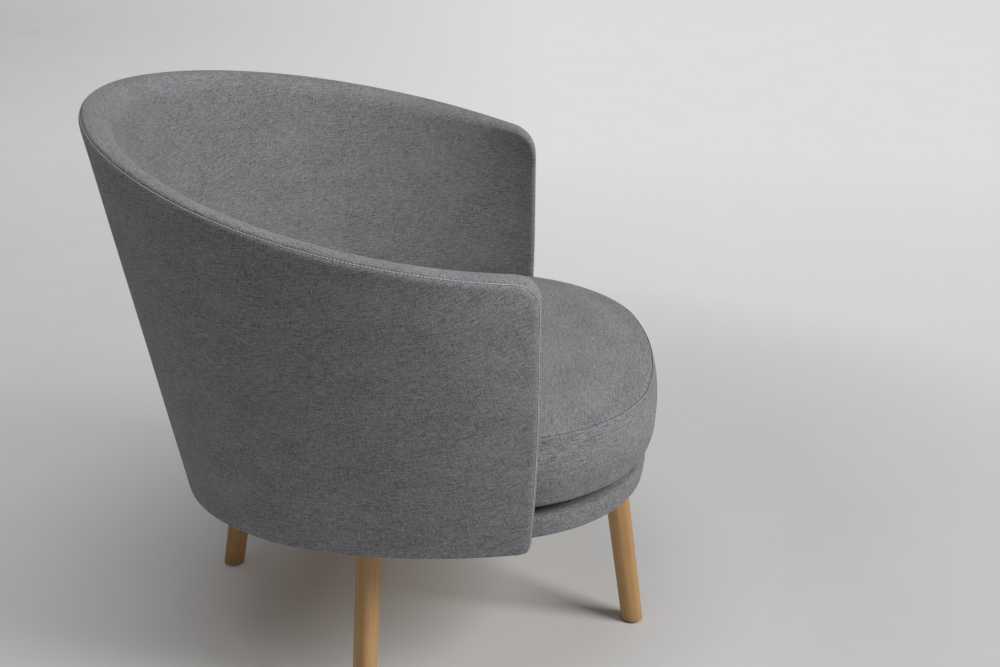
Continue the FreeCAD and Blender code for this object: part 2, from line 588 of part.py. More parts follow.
def glide_centre(index):
    """The middle of a glide's upper face, where a leg's axis meets it."""
    top, along = leg_axis(index)
    return top - along * ((LEG_PLATE_UNDERSIDE - GLIDE_THICKNESS) / along.z)


def glide(index):
    """A nail-in glide: a round pad below the foot, and its pin."""
    centre = glide_centre(index)
    pad = Part.makeCylinder(GLIDE_DIAMETER / 2, GLIDE_THICKNESS, centre - UP * GLIDE_THICKNESS)
    lower = [e for e in pad.Edges if e.BoundBox.ZMax < GLIDE_THICKNESS / 2]
    pad = pad.makeChamfer(GLIDE_THICKNESS / 4, lower)
    return pad.fuse(Part.makeCylinder(GLIDE_PIN_DIAMETER / 2, GLIDE_PIN_LENGTH, centre))


def leg_frame():
    """The four legs, the round plate that carries them, and what fastens them."""
    legs = range(LEG_COUNT)
    tip = LEG_PLATE_THICKNESS - LEG_INSERT_COVER
    insert_slab = slab(LEG_PLATE_UNDERSIDE, LEG_PLATE_UNDERSIDE + tip)
    sockets = Part.makeCompound([leg_rod(i, OVERRUN, OVERRUN, LEG_INSERT_DIAMETER / 2) for i in legs])
    socket_hole = LEG_INSERT_DIAMETER / 2 + METAL_GAP
    bolt_hole = LEG_BOLT_DIAMETER / 2 + METAL_GAP
    wider = Part.makeCompound([leg_rod(i, OVERRUN, OVERRUN, socket_hole) for i in legs])
    bolt_space = Part.makeCompound([leg_rod(i, OVERRUN, OVERRUN, bolt_hole) for i in legs])
    plate = cylinder(LEG_PLATE_RADIUS, LEG_PLATE_UNDERSIDE, LEG_PLATE_TOP)
    rims = [e for e in plate.Edges if e.BoundBox.XLength > LEG_PLATE_RADIUS]
    plate = plate.makeChamfer(LEG_PLATE_CHAMFER, rims)
    access = direction(LEG_TURN) * (SWIVEL_SCREW_SPACING / math.sqrt(2))
    holes = screw_pilots(LEG_TURN, LEG_PLATE_TOP + SWIVEL_SHEET, -1)
    holes.append(Part.makeCylinder(SCREW_ACCESS_DIAMETER / 2, 2 * LEG_PLATE_TOP, access))
    rivet_hole = RIVET_HEAD_DIAMETER / 2 + SOFT_GAP
    holes.append(cylinder(rivet_hole, LEG_PLATE_UNDERSIDE - OVERRUN, LEG_PLATE_TOP + OVERRUN))
    plate = plate.cut(wider.common(insert_slab)).cut(Part.makeCompound(holes))
    bolts = Part.makeCompound([leg_rod(i, LEG_BOLT_GRIP, tip, LEG_BOLT_DIAMETER / 2) for i in legs])
    bolts = bolts.common(slab(0, LEG_PLATE_UNDERSIDE + tip - METAL_GAP))
    parts = {
        "leg_plate": solid(plate),
        "leg_inserts": sockets.common(insert_slab).cut(bolt_space),
        "leg_bolts": bolts,
        "floor_glides": Part.makeCompound([glide(i) for i in legs]),
    }
    for index, name in enumerate(("rear", "right", "front", "left")):
        parts["leg_" + name] = leg(index)
    return parts


def build():
    """Every piece of the chair, by name, drawn round the swivel's axis."""
    bolts, spacers, inserts, ring_holes, soft_holes, core_holes = shell_fixings()
    parts = {"shell_bolts": bolts, "shell_spacers": spacers, "shell_inserts": inserts}
    parts.update(shell(soft_holes, core_holes))
    parts.update(seat_base(ring_holes, soft_holes))
    parts.update(cushion())
    parts.update(swivel())
    parts.update(leg_frame())
    return parts


pieces = build()
box = Part.makeCompound(list(pieces.values())).optimalBoundingBox()
setback = -(box.YMin + box.YMax) / 2
os.makedirs("parts", exist_ok=True)
for name, shape in pieces.items():
    shape.translate(V(0, setback, 0))
    shape.exportStep("parts/" + name + ".step")
print("swivel axis at y", round(setback, 3))
print("width, depth, height", [round(size, 1) for size in (box.XLength, box.YLength, box.ZMax)])
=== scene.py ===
import logging
import math
from collections.abc import Callable
from dataclasses import dataclass, field
from enum import Enum

import bmesh
import bpy
import numpy as np
from mathutils import Matrix, Vector
from mathutils.bvhtree import BVHTree


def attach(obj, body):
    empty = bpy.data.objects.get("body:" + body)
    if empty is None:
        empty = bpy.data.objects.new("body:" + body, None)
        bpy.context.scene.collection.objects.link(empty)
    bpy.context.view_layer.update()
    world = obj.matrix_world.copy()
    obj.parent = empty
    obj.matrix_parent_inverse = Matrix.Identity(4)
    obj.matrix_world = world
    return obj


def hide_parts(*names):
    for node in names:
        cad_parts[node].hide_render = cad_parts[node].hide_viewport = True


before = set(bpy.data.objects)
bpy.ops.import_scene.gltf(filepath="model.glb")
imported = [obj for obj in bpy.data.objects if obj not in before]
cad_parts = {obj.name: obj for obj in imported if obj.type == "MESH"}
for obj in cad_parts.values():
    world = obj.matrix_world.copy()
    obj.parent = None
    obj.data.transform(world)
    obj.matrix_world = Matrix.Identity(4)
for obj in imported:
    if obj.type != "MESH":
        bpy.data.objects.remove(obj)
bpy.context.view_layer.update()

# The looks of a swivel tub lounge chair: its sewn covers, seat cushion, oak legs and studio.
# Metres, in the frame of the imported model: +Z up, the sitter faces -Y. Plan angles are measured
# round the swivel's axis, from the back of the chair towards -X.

LOG = logging.getLogger("lounge_chair")
MM = 0.001
AXIS_Y = -0.057312
Colour = tuple[float, float, float]
Grid = np.ndarray
Row = tuple[float, float, float]
STITCH_SWELL = ((-0.5, 0.35), (-0.38, 0.85), (0.0, 1.0), (0.38, 0.85), (0.5, 0.35))


def operator(operation: str, reflected: bool = False) -> "Callable[[Value, Value | float], Value]":
    """A Python operator that adds one Math node.

    Args:
        operation: the Math node's operation.
        reflected: True where the other term comes first, as in 1 - mask.

    Returns:
        The method for Value.
    """
    def method(value: "Value", other: "Value | float") -> "Value":
        """The node's result."""
        return value.graph.maths(operation, *((other, value) if reflected else (value, other)))

    return method


class Value:
    """A shader socket that can stand in a Python expression."""

    __add__, __radd__ = operator("ADD"), operator("ADD", True)
    __sub__, __rsub__ = operator("SUBTRACT"), operator("SUBTRACT", True)
    __mul__, __rmul__ = operator("MULTIPLY"), operator("MULTIPLY", True)
    __pow__ = operator("POWER")

    def __init__(self, graph: "Graph", socket: bpy.types.NodeSocket) -> None:
        """Keeps the socket and the graph that it belongs to."""
        self.graph = graph
        self.socket = socket

    def sine(self) -> "Value":
        """Sine of an angle in radians."""
        return self.graph.maths("SINE", self)

    def size(self) -> "Value":
        """Absolute value."""
        return self.graph.maths("ABSOLUTE", self)

    def between(self, start: float, end: float) -> "Value":
        """0 up to the start, 1 from the end on, and an even slope between them."""
        limits = {"From Min": start, "From Max": end, "Value": self}
        return self.graph.value("ShaderNodeMapRange", limits, clamp=True)


class Graph:
    """The nodes of one material, or of the world."""

    def __init__(self, tree: bpy.types.NodeTree) -> None:
        """Empties a node tree and keeps it."""
        self.tree = tree
        tree.nodes.clear()

    def node(self, kind: str, inputs: dict[str | int, object] | None = None,
             **settings: object) -> bpy.types.Node:
        """Makes any node.

        Args:
            kind: the node's type name.
            inputs: values or links for its sockets, by name or number.
            **settings: its properties, such as a Math node's operation, which are set first.

        Returns:
            The new node.
        """
        made = self.tree.nodes.new(kind)
        for name, value in settings.items():
            setattr(made, name, value)
        for name, value in (inputs or {}).items():
            if isinstance(value, Value):
                self.tree.links.new(value.socket, made.inputs[name])
            else:
                made.inputs[name].default_value = value
        return made

    def value(self, kind: str, inputs: dict[str | int, object] | None = None, output: str | int = 0,
              **settings: object) -> Value:
        """Makes a node, as node does, and returns one of its outputs."""
        return Value(self, self.node(kind, inputs, **settings).outputs[output])

    def maths(self, operation: str, *terms: Value | float) -> Value:
        """The result of a Math node."""
        return self.value("ShaderNodeMath", dict(enumerate(terms)), operation=operation)

    def noise(self, place: Value, scale: Colour, detail: float = 2.0, roughness: float = 0.5) -> Value:
        """Soft noise round 0.5 with its own scale along each axis, in cells per metre."""
        scaled = self.value("ShaderNodeVectorMath", {0: place, 1: scale}, operation="MULTIPLY")
        inputs = {"Vector": scaled, "Scale": 1.0, "Detail": detail, "Roughness": roughness}
        return self.value("ShaderNodeTexNoise", inputs, noise_dimensions="3D")

    def blend(self, share: Value | float, low: Value | Colour, high: Value | Colour) -> Value:
        """A colour between two others."""
        low, high = (end if isinstance(end, Value) else (*end, 1) for end in (low, high))
        return self.value("ShaderNodeMix", {0: share, 6: low, 7: high}, 2, data_type="RGBA")

    def bump(self, height: Value, distance: float, strength: float = 1.0) -> Value:
        """A normal from a height in shares of a distance."""
        return self.value("ShaderNodeBump", {"Height": height, "Distance": distance, "Strength": strength})

    def seen_rays(self) -> Value:
        """1 for what the camera sees, straight or in gloss or glass, and 0 for the light on the chair."""
        rays = self.node("ShaderNodeLightPath")
        straight, *others = (Value(self, rays.outputs[kind])
                             for kind in ("Is Camera Ray", "Is Glossy Ray", "Is Transmission Ray"))
        return sum(others, straight)

    def object_place(self) -> Value:
        """Place on a piece, in metres; it moves with the piece."""
        return self.value("ShaderNodeTexCoord", output="Object")

    def map_place(self, name: str) -> Value:
        """Place on a piece's named map."""
        return self.value("ShaderNodeUVMap", uv_map=name)

    def parts_of(self, vector: Value) -> tuple[Value, Value, Value]:
        """The three numbers of a vector."""
        return tuple(Value(self, part) for part in self.node("ShaderNodeSeparateXYZ", {0: vector}).outputs)

    def surface(self, inputs: dict[str, object]) -> None:
        """Ends the material in a Principled surface."""
        self.node("ShaderNodeOutputMaterial", {"Surface": self.value("ShaderNodeBsdfPrincipled", inputs)})


def shaded(tone: Colour, share: float, lift: float = 0.0) -> Colour:
    """A darker or lighter kind of a colour."""
    return tuple(min(1.0, part * share + lift) for part in tone)


@dataclass(frozen=True)
class Finish:
    """What every finish has: a name, and nodes that it makes once."""

    name: str

    def material(self) -> bpy.types.Material:
        """The finish's material, made on first use."""
        made = bpy.data.materials.get(self.name)
        if made is None:
            made = bpy.data.materials.new(self.name)
            made.use_nodes = True
            self.draw(Graph(made.node_tree))
        return made

    def draw(self, graph: Graph) -> None:
        """Draws the finish's nodes."""
        raise NotImplementedError


@dataclass(frozen=True)
class Yarn:
    """One kind of yarn in a cloth: cells per metre, octaves, roughness, and how much it counts."""

    cells: Colour
    octaves: float
    roughness: float
    weight: float

    def tone(self, graph: Graph, cloth: Value) -> Value:
        """The yarn's own noise, round 0.5."""
        return graph.noise(cloth, self.cells, self.octaves, self.roughness)


@dataclass(frozen=True)
class MelangeCloth(Finish):
    """Plain-woven upholstery cloth of mixed dark and light yarns, with slubs along both threads."""

    deep: Colour = (0.042, 0.041, 0.046)
    pale: Colour = (0.36, 0.357, 0.367)
    weft: Yarn = Yarn((72, 560, 1), 2.0, 0.65, 0.78)
    warp: Yarn = Yarn((540, 95, 1), 2.0, 0.65, 0.55)
    speckle: Yarn = Yarn((470, 500, 1), 3.0, 0.85, 1.75)
    coarse: Yarn = Yarn((170, 230, 1), 2.0, 0.6, 0.28)
    broad: Yarn = Yarn((12, 24, 1), 3.0, 0.65, 0.32)
    weft_slub: Yarn = Yarn((24, 430, 3), 1.0, 0.4, 0.13)
    warp_slub: Yarn = Yarn((410, 22, 7), 1.0, 0.4, 0.09)
    thread_pitch: float = 1.0 * MM
    relief: float = 0.45 * MM
    pucker: Yarn = Yarn((95, 18, 1), 1.0, 0.5, 2.7)
    pucker_reach: float = 0.011
    sheen: float = 0.12

    def threads(self, graph: Graph, cloth: Value) -> Value:
        """Tone of the yarns, from 0, dark, to 1, light."""
        tone = 0.5
        for yarn in (self.weft, self.warp, self.speckle, self.coarse, self.broad):
            tone = tone + yarn.weight * (yarn.tone(graph, cloth) - 0.5)
        return tone

    def slubs(self, graph: Graph, cloth: Value) -> Value:
        """How much darker a thick dark yarn makes the cloth."""
        along_weft = self.weft_slub.tone(graph, cloth).between(0.6, 0.78)
        along_warp = self.warp_slub.tone(graph, cloth).between(0.6, 0.8)
        return along_weft * self.weft_slub.weight + along_warp * self.warp_slub.weight

    def draw(self, graph: Graph) -> None:
        """Draws yarn tones, slubs, over-and-under relief, and puckers beside the seams."""
        cloth, seam = graph.map_place("Cloth"), graph.map_place("Seam")
        yarns = self.threads(graph, cloth)
        tone = yarns - self.slubs(graph, cloth)
        along, across, _ = graph.parts_of(cloth)
        turn = math.pi / self.thread_pitch
        crossings = (along * turn).sine() * (across * turn).sine()
        near = 1 - graph.parts_of(seam)[1].between(0, self.pucker_reach)
        waves = (self.pucker.tone(graph, seam) - 0.5) * self.pucker.weight
        height = crossings * 0.2 + yarns + near * near * waves
        graph.surface({"Base Color": graph.blend(tone.between(0.05, 0.95), self.deep, self.pale),
                       "Roughness": 0.86 + 0.1 * tone, "Normal": graph.bump(height, self.relief, 0.6),
                       "Specular IOR Level": 0.22, "Sheen Weight": self.sheen, "Sheen Roughness": 0.45})


@dataclass(frozen=True)
class SewingThread(Finish):
    """Twisted sewing thread."""

    tone: Colour = (0.78, 0.78, 0.79)
    twist: float = 5200
    slant: float = 1.7
    fuzz: Colour = (1800, 1800, 1800)

    def draw(self, graph: Graph) -> None:
        """Draws the twist as fine slanting bands."""
        place = graph.object_place()
        x, y, z = graph.parts_of(place)
        bands = ((x + y + z * self.slant) * self.twist).sine()
        share = (0.5 + 0.25 * bands + 0.8 * (graph.noise(place, self.fuzz) - 0.5)).between(0, 1)
        graph.surface({"Base Color": graph.blend(share, shaded(self.tone, 0.62), self.tone), "Roughness": 0.7,
                       "Normal": graph.bump(share, 0.08 * MM), "Specular IOR Level": 0.3})


@dataclass(frozen=True)
class Oak(Finish):
    """Turned oak with a clear matt lacquer, its grain along the leg."""

    axis: tuple[float, float, float] = (0, 0, 1)
    offset: float = 0.0
    pale: Colour = (0.585, 0.365, 0.16)
    deep: Colour = (0.345, 0.18, 0.064)
    dark_foot_tone: Colour = (0.25, 0.15, 0.07)
    dark_foot_height: float = 0.02

    def draw(self, graph: Graph) -> None:
        """Draws growth bands, pores and flecks along the leg's own axis, and a foot that is a little darker
        towards the floor.
        """
        place = graph.object_place()
        lean = Vector(self.axis).rotation_difference(Vector((0, 0, 1))).to_euler()
        grain = graph.value("ShaderNodeMapping", {"Vector": place, "Rotation": tuple(lean), "Location": (
            self.offset, self.offset * 0.7, 0)}, vector_type="POINT")
        bands = graph.noise(grain, (62, 62, 2.2), 3.0, 0.6)
        fine = graph.noise(grain, (420, 420, 9), 2.0, 0.6)
        pores = graph.noise(grain, (1500, 1500, 42), 1.0, 0.5).between(0.6, 0.7)
        flecks = graph.noise(grain, (150, 1200, 30), 1.0, 0.4).between(0.66, 0.72)
        share = (0.5 + 1.5 * (bands - 0.5) + 0.7 * (fine - 0.5) - 0.25 * pores + 0.12 * flecks).between(0, 1)
        # The foot is a little darker towards the floor.
        near_floor = 1 - graph.parts_of(place)[2].between(0.15 * self.dark_foot_height, self.dark_foot_height)
        colour = graph.blend(near_floor * 0.35, graph.blend(share, self.deep, self.pale), self.dark_foot_tone)
        graph.surface({"Base Color": colour, "Roughness": 0.42 + 0.12 * (1 - share),
                       "Normal": graph.bump(fine * 0.4 - pores, 0.12 * MM, 0.5), "Specular IOR Level": 0.4})


@dataclass(frozen=True)
class Plywood(Finish):
    """Raw birch plywood: grain on the faces and thin layers at the edges."""

    face: tuple[Colour, Colour] = ((0.47, 0.33, 0.19), (0.62, 0.47, 0.30))
    layers: tuple[Colour, Colour] = ((0.33, 0.21, 0.12), (0.58, 0.43, 0.27))
    layer: float = 1.5 * MM

    def draw(self, graph: Graph) -> None:
        """Draws face grain and the edge's layers."""
        place = graph.object_place()
        grain = graph.noise(place, (60, 3, 30), 4.0, 0.6)
        stripes = (graph.parts_of(place)[2] * (math.pi / self.layer)).sine().between(-0.3, 0.3)
        upward = graph.parts_of(graph.value("ShaderNodeNewGeometry", output="True Normal"))[2]
        edge = 1 - upward.size().between(0.5, 0.8)
        colour = graph.blend(edge, graph.blend(grain.between(0.3, 0.7), *self.face),
                             graph.blend(stripes, *self.layers))
        graph.surface({"Base Color": colour, "Roughness": 0.6 + 0.1 * grain,
                       "Normal": graph.bump(grain, 0.2 * MM, 0.4)})


@dataclass(frozen=True)
class Metal(Finish):
    """Sheet steel or hardware: plated bright, or powder-coated dark."""

    tone: Colour = (0.55, 0.56, 0.58)
    metallic: float = 1.0
    roughness: float = 0.35
    cloud: Colour = (70, 70, 70)
    grit: Colour = (1400, 1400, 1400)

    def draw(self, graph: Graph) -> None:
        """Draws a cloudy plating or a fine orange-peel coat with small scuffs."""
        place = graph.object_place()
        cloud = graph.noise(place, self.cloud, 3.0, 0.6)
        colour = graph.blend(cloud.between(0.25, 0.75), shaded(self.tone, 0.72), self.tone)
        graph.surface({"Base Color": colour, "Metallic": self.metallic,
                       "Roughness": self.roughness + 0.25 * (cloud - 0.5),
                       "Normal": graph.bump(graph.noise(place, self.grit), 0.04 * MM, 0.6)})


@dataclass(frozen=True)
class Plastic(Finish):
    """Moulded plastic with a fine matt grain."""

    tone: Colour = (0.05, 0.045, 0.04)
    roughness: float = 0.5
    grit: Colour = (2200, 2200, 2200)
    scuffs: Colour = (240, 240, 60)

    def draw(self, graph: Graph) -> None:
        """Draws the mould's fine grain and slight scuffing."""
        place = graph.object_place()
        scuff = graph.noise(place, self.scuffs, 3.0, 0.7).between(0.55, 0.75)
        graph.surface({"Base Color": graph.blend(scuff, self.tone, shaded(self.tone, 1.35, 0.02)),
                       "Roughness": self.roughness + 0.2 * scuff,
                       "Normal": graph.bump(graph.noise(place, self.grit), 0.03 * MM, 0.5)})


@dataclass(frozen=True)
class ZipTape(Finish):
    """Woven zip tape in twill."""

    tone: Colour = (0.05, 0.05, 0.054)
    rib_pitch: float = 0.6 * MM

    def draw(self, graph: Graph) -> None:
        """Draws the slanting ribs of the twill."""
        along, across, _ = graph.parts_of(graph.map_place("Cloth"))
        ribs = ((along + across) * (math.pi / self.rib_pitch)).sine().between(-0.6, 0.6)
        graph.surface({"Base Color": graph.blend(ribs, self.tone, shaded(self.tone, 2.0)), "Roughness": 0.8,
                       "Normal": graph.bump(ribs, 0.12 * MM)})


@dataclass(frozen=True)
class StudioFloor(Finish):
    """Studio floor with painted light: its colour is paler on the side away from the key light, and the
    glowing tone that the camera sees is paler on the key light's side and towards the back.
    """

    # Painted light: the floor's colour is paler on the side away from the key light, to light that side up.
    painted_fill_light: tuple[float, float] = (0.88, 0.50)
    # Painted light: the glowing tone that the camera sees is paler on the key light's side, most of all
    # towards the back.
    near: tuple[float, float] = (0.42, 0.58)
    far: tuple[float, float] = (0.42, 0.72)
    scuffed: Colour = (0.84, 0.84, 0.85)
    horizon: float = 0.70
    plain_centre: float = 0.22
    plain_from: float = 0.35
    plain_at: float = 1.35

    def painted_light_fade(self, graph: Graph, share: Value, tones: tuple[float, float]) -> Value:
        """A grey that fades from one tone to another across the floor: a painted light fade."""
        dim, bright = ((tone,) * 3 for tone in tones)
        return graph.blend(share, dim, bright)

    def draw(self, graph: Graph) -> None:
        """Draws a broad painted light fade and faint scuffs; far from the chair the camera sees the plain
        tone, a glow with a painted light fade of its own.
        """
        place = graph.object_place()
        x, y, _ = graph.parts_of(place)
        side = y.between(0.75, -0.7)
        scuffs = graph.noise(place, (5, 5, 1), 5.0, 0.65).between(0.35, 0.7) * 0.05
        # Painted light: the floor's colour is paler away from the key light, to light up its shaded side.
        painted_fill_light = graph.blend(scuffs, self.painted_light_fade(graph, side, self.painted_fill_light), self.scuffed)
        painted = graph.value("ShaderNodeBsdfPrincipled",
                              {"Base Color": painted_fill_light, "Roughness": 0.75, "Specular IOR Level": 0.2})
        # Painted light: the glow that the camera sees is paler on the key light's side and towards the back.
        tone = graph.blend(x.between(-0.2, 2.6), self.painted_light_fade(graph, side, self.near),
                           self.painted_light_fade(graph, y.between(2.6, -0.3), self.far))
        off = y + self.plain_centre
        distance = (x * x + off * off) ** 0.5
        tone = graph.blend(distance.between(5.0, 11.0), graph.blend(scuffs, tone, self.scuffed),
                           (self.horizon,) * 3)
        plain = graph.value("ShaderNodeEmission", {"Color": tone, "Strength": 1.0})
        share = distance.between(self.plain_from, self.plain_at) * graph.seen_rays()
        mixed = graph.value("ShaderNodeMixShader", {0: share, 1: painted, 2: plain})
        graph.node("ShaderNodeOutputMaterial", {"Surface": mixed})


@dataclass
class MeshDraft:
    """Vertices, faces and maps of a piece while it is drawn."""

    points: list[np.ndarray] = field(default_factory=list)
    faces: list[tuple[int, ...]] = field(default_factory=list)
    cloth: list[np.ndarray] = field(default_factory=list)
    seam: list[np.ndarray] = field(default_factory=list)
    count: int = 0

    def add(self, points: Grid, cloth: Grid | float = 0.0, seam: Grid | float = 1.0) -> np.ndarray:
        """Adds a grid of vertices.

        Args:
            points: places, with 3 numbers each.
            cloth: places on the flat cloth, with 2 numbers each.
            seam: distances along and from the nearest seam, with 2 numbers each; 1 is far from any.

        Returns:
            Their numbers, in the grid's shape.
        """
        shape = points.shape[:-1]
        numbers = np.arange(self.count, self.count + int(np.prod(shape))).reshape(shape)
        self.count += numbers.size
        self.points.append(points.reshape(-1, 3))
        self.cloth.append(np.broadcast_to(cloth, (*shape, 2)).reshape(-1, 2))
        self.seam.append(np.broadcast_to(seam, (*shape, 2)).reshape(-1, 2))
        return numbers

    def quads(self, numbers: np.ndarray, closed: bool = False) -> None:
        """Joins a grid's vertices by quads, round its first axis too if it is closed."""
        if closed:
            numbers = np.vstack([numbers, numbers[:1]])
        corners = (numbers[:-1, :-1], numbers[1:, :-1], numbers[1:, 1:], numbers[:-1, 1:])
        self.faces.extend(map(tuple, np.stack([part.ravel() for part in corners], axis=1).tolist()))

    def tube(self, numbers: np.ndarray) -> None:
        """Joins a grid's vertices to a closed tube, with a face at each end."""
        self.quads(numbers, closed=True)
        self.cap(numbers[:, 0])
        self.cap(numbers[:, -1])

    def cap(self, ring: np.ndarray) -> None:
        """Closes a ring by one face."""
        self.faces.append(tuple(int(number) for number in ring))

    def piece(self, name: str, facing_axis: bool = False) -> bpy.types.Object:
        """Makes the object, with its maps and smooth shading.

        Args:
            name: the piece's name.
            facing_axis: True for an open skin whose face is towards the middle of the chair.

        Returns:
            The object, its skin joined up and its faces turned outwards.
        """
        mesh = bpy.data.meshes.new(name)
        mesh.from_pydata(np.vstack(self.points).tolist(), [], self.faces)
        mesh.polygons.foreach_set("use_smooth", [True] * len(mesh.polygons))
        corners = np.empty(len(mesh.loops), dtype=np.int32)
        mesh.loops.foreach_get("vertex_index", corners)
        for title, rows in (("Cloth", np.vstack(self.cloth)), ("Seam", np.vstack(self.seam))):
            layer = mesh.uv_layers.new(name=title)
            layer.data.foreach_set("uv", rows[corners].astype(np.float32).ravel())
        skin = bmesh.new()
        skin.from_mesh(mesh)
        bmesh.ops.remove_doubles(skin, verts=skin.verts, dist=0.02 * MM)
        bmesh.ops.recalc_face_normals(skin, faces=skin.faces)
        middle = sum((face.calc_center_median() for face in skin.faces), Vector()) / len(skin.faces)
        outward = sum(face.calc_area() * face.normal.dot(face.calc_center_median() - middle)
                      for face in skin.faces)
        if (outward < 0) != facing_axis:
            bmesh.ops.reverse_faces(skin, faces=skin.faces)
        skin.to_mesh(mesh)
        skin.free()
        return linked(name, mesh)


def linked(name: str, data: bpy.types.ID) -> bpy.types.Object:
    """A new object in the scene that holds some data."""
    made = bpy.data.objects.new(name, data)
    bpy.context.scene.collection.objects.link(made)
    return made


def thicken(piece: bpy.types.Object, thickness: float) -> None:
    """Gives a skin its thickness, behind its face."""
    modifier = piece.modifiers.new("Thickness", "SOLIDIFY")
    modifier.thickness = thickness
    modifier.offset = -1.0


def dress(piece: bpy.types.Object, finish: Finish) -> None:
    """Gives a new piece of the seat its finish and its body, and reports it."""
    piece.data.materials.append(finish.material())
    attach(piece, "seat")
    LOG.info("%s: %d faces, %s", piece.name, len(piece.data.polygons), finish.name)


def unit(angle: Grid) -> Grid:
    """Level unit vectors at plan angles in radians."""
    return np.stack([-np.sin(angle), np.cos(angle)], axis=-1)


def placed(level: Grid, height: Grid | float) -> Grid:
    """Places in the chair from places (x, y) round the swivel's axis and heights."""
    x, y, z = np.broadcast_arrays(level[..., 0], level[..., 1] + AXIS_Y, height)
    return np.stack([x, y, z], axis=-1)


def run_along(path: Grid) -> Grid:
    """Distance along a path at each of its places."""
    return np.concatenate([[0], np.cumsum(np.linalg.norm(np.diff(path, axis=0), axis=1))])


def crossed(along: Grid, across: Grid) -> Grid:
    """A grid of pairs of numbers, from a list for each of its two axes."""
    return np.stack(np.meshgrid(along, across, indexing="ij"), -1)


def all_round(count: int) -> Grid:
    """Even angles all the way round."""
    return np.arange(count) * (2 * math.pi / count)


def quarter(count: int) -> list[float]:
    """Even angles from nought to a right angle."""
    return [index / (count - 1) * math.pi / 2 for index in range(count)]


def eased(share: Grid) -> Grid:
    """A share kept within 0 and 1, and eased at both ends."""
    share = np.clip(share, 0, 1)
    return share * share * (3 - 2 * share)


def hill(off: float, high: float, width: float, middle: float = 0.0) -> float:
    """Height of a soft hill at a distance."""
    return high * math.exp(-((off - middle) / width) ** 2)


@dataclass(frozen=True)
class TubPlan:
    """The shell's outer face: tangent arcs in plan, whose radii change evenly from foot to brim."""

    foot_height: float = 0.2425
    brim_height: float = 0.627
    foot_reach: float = 0.3199
    brim_reach: float = 0.4071
    turns: tuple[float, ...] = (17.5, 50.4, 81.3, 140)
    foot_radius_shares: tuple[float, ...] = (1.5864, 0.6615, 0.9162, 1.8059)
    brim_radius_shares: tuple[float, ...] = (1.0310, 1.0349, 0.8457, 0.8158)
    flat_radius: float = 3.3

    def share(self, height: Grid) -> Grid:
        """Share of the way from the foot to the brim at some heights."""
        return (height - self.foot_height) / (self.brim_height - self.foot_height)

    def arcs(self, height: Grid) -> tuple[Grid, Grid]:
        """Centres and radii of the arcs at some heights, the arcs along the last axis."""
        share = self.share(height)[..., None]
        foot = np.array(self.foot_radius_shares) * self.foot_reach
        brim = np.array(self.brim_radius_shares) * self.brim_reach
        radii = foot + (brim - foot) * share
        reach = self.foot_reach + (self.brim_reach - self.foot_reach) * share[..., 0]
        centre = np.stack([np.zeros_like(reach), reach - radii[..., 0]], axis=-1)
        centres = [centre]
        for index, turn in enumerate(self.turns[:-1]):
            step = radii[..., index] - radii[..., index + 1]
            centre = centre + unit(np.radians(turn)) * step[..., None]
            centres.append(centre)
        return np.stack(centres, axis=-2), radii

    def level_point(self, turn: Grid, height: Grid, depth: Grid) -> Grid:
        """Places (x, y from the axis) at plan turns, heights and depths below the outer face."""
        turn, height, depth = np.broadcast_arrays(turn, height, depth)
        centres, radii = self.arcs(height)
        steep = np.abs(turn)
        index = np.searchsorted(np.radians(self.turns[:-1]), steep)[..., None]
        radius = np.take_along_axis(radii, index, -1)[..., 0] - depth
        centre = np.take_along_axis(centres, index[..., None], -2)[..., 0, :]
        place = centre + unit(steep) * radius[..., None]
        place[..., 0] *= np.where(turn < 0, -1, 1)
        return place

    def point(self, turn: Grid, height: Grid, depth: Grid) -> Grid:
        """Places in the chair at plan turns, heights and depths."""
        return placed(self.level_point(turn, height, depth), height)

    def turn_at(self, y: Grid, height: Grid, depth: Grid) -> Grid:
        """The positive plan turns at which the face reaches places y from the axis."""
        y, height, depth = np.broadcast_arrays(y, height, depth)
        centres, radii = self.arcs(height)
        radii = radii - depth[..., None]
        ends = centres[..., 1] + radii * np.cos(np.radians(self.turns))
        index = (y[..., None] < ends[..., :-1]).sum(axis=-1)[..., None]
        radius = np.take_along_axis(radii, index, -1)[..., 0]
        centre = np.take_along_axis(centres[..., 1], index, -1)[..., 0]
        return np.arccos(np.clip((y - centre) / radius, -1, 1))

    def flattened(self, turn: Grid, height: Grid) -> Grid:
        """Places on the flat cloth from which the flared panel is cut, in metres."""
        middle = (self.foot_height + self.brim_height) / 2
        steps = np.linspace(0, 1, 41)[:, None]
        trail = self.level_point(steps * turn.reshape(1, -1), middle, 0)
        length = np.linalg.norm(np.diff(trail, axis=0), axis=-1).sum(axis=0).reshape(turn.shape)
        fan = np.sign(turn) * length / self.flat_radius
        lean = math.atan2(self.brim_reach - self.foot_reach, self.brim_height - self.foot_height)
        ray = self.flat_radius + (height - middle) / math.cos(lean)
        return np.stack([ray * np.sin(fan), ray * np.cos(fan) - self.flat_radius], axis=-1)


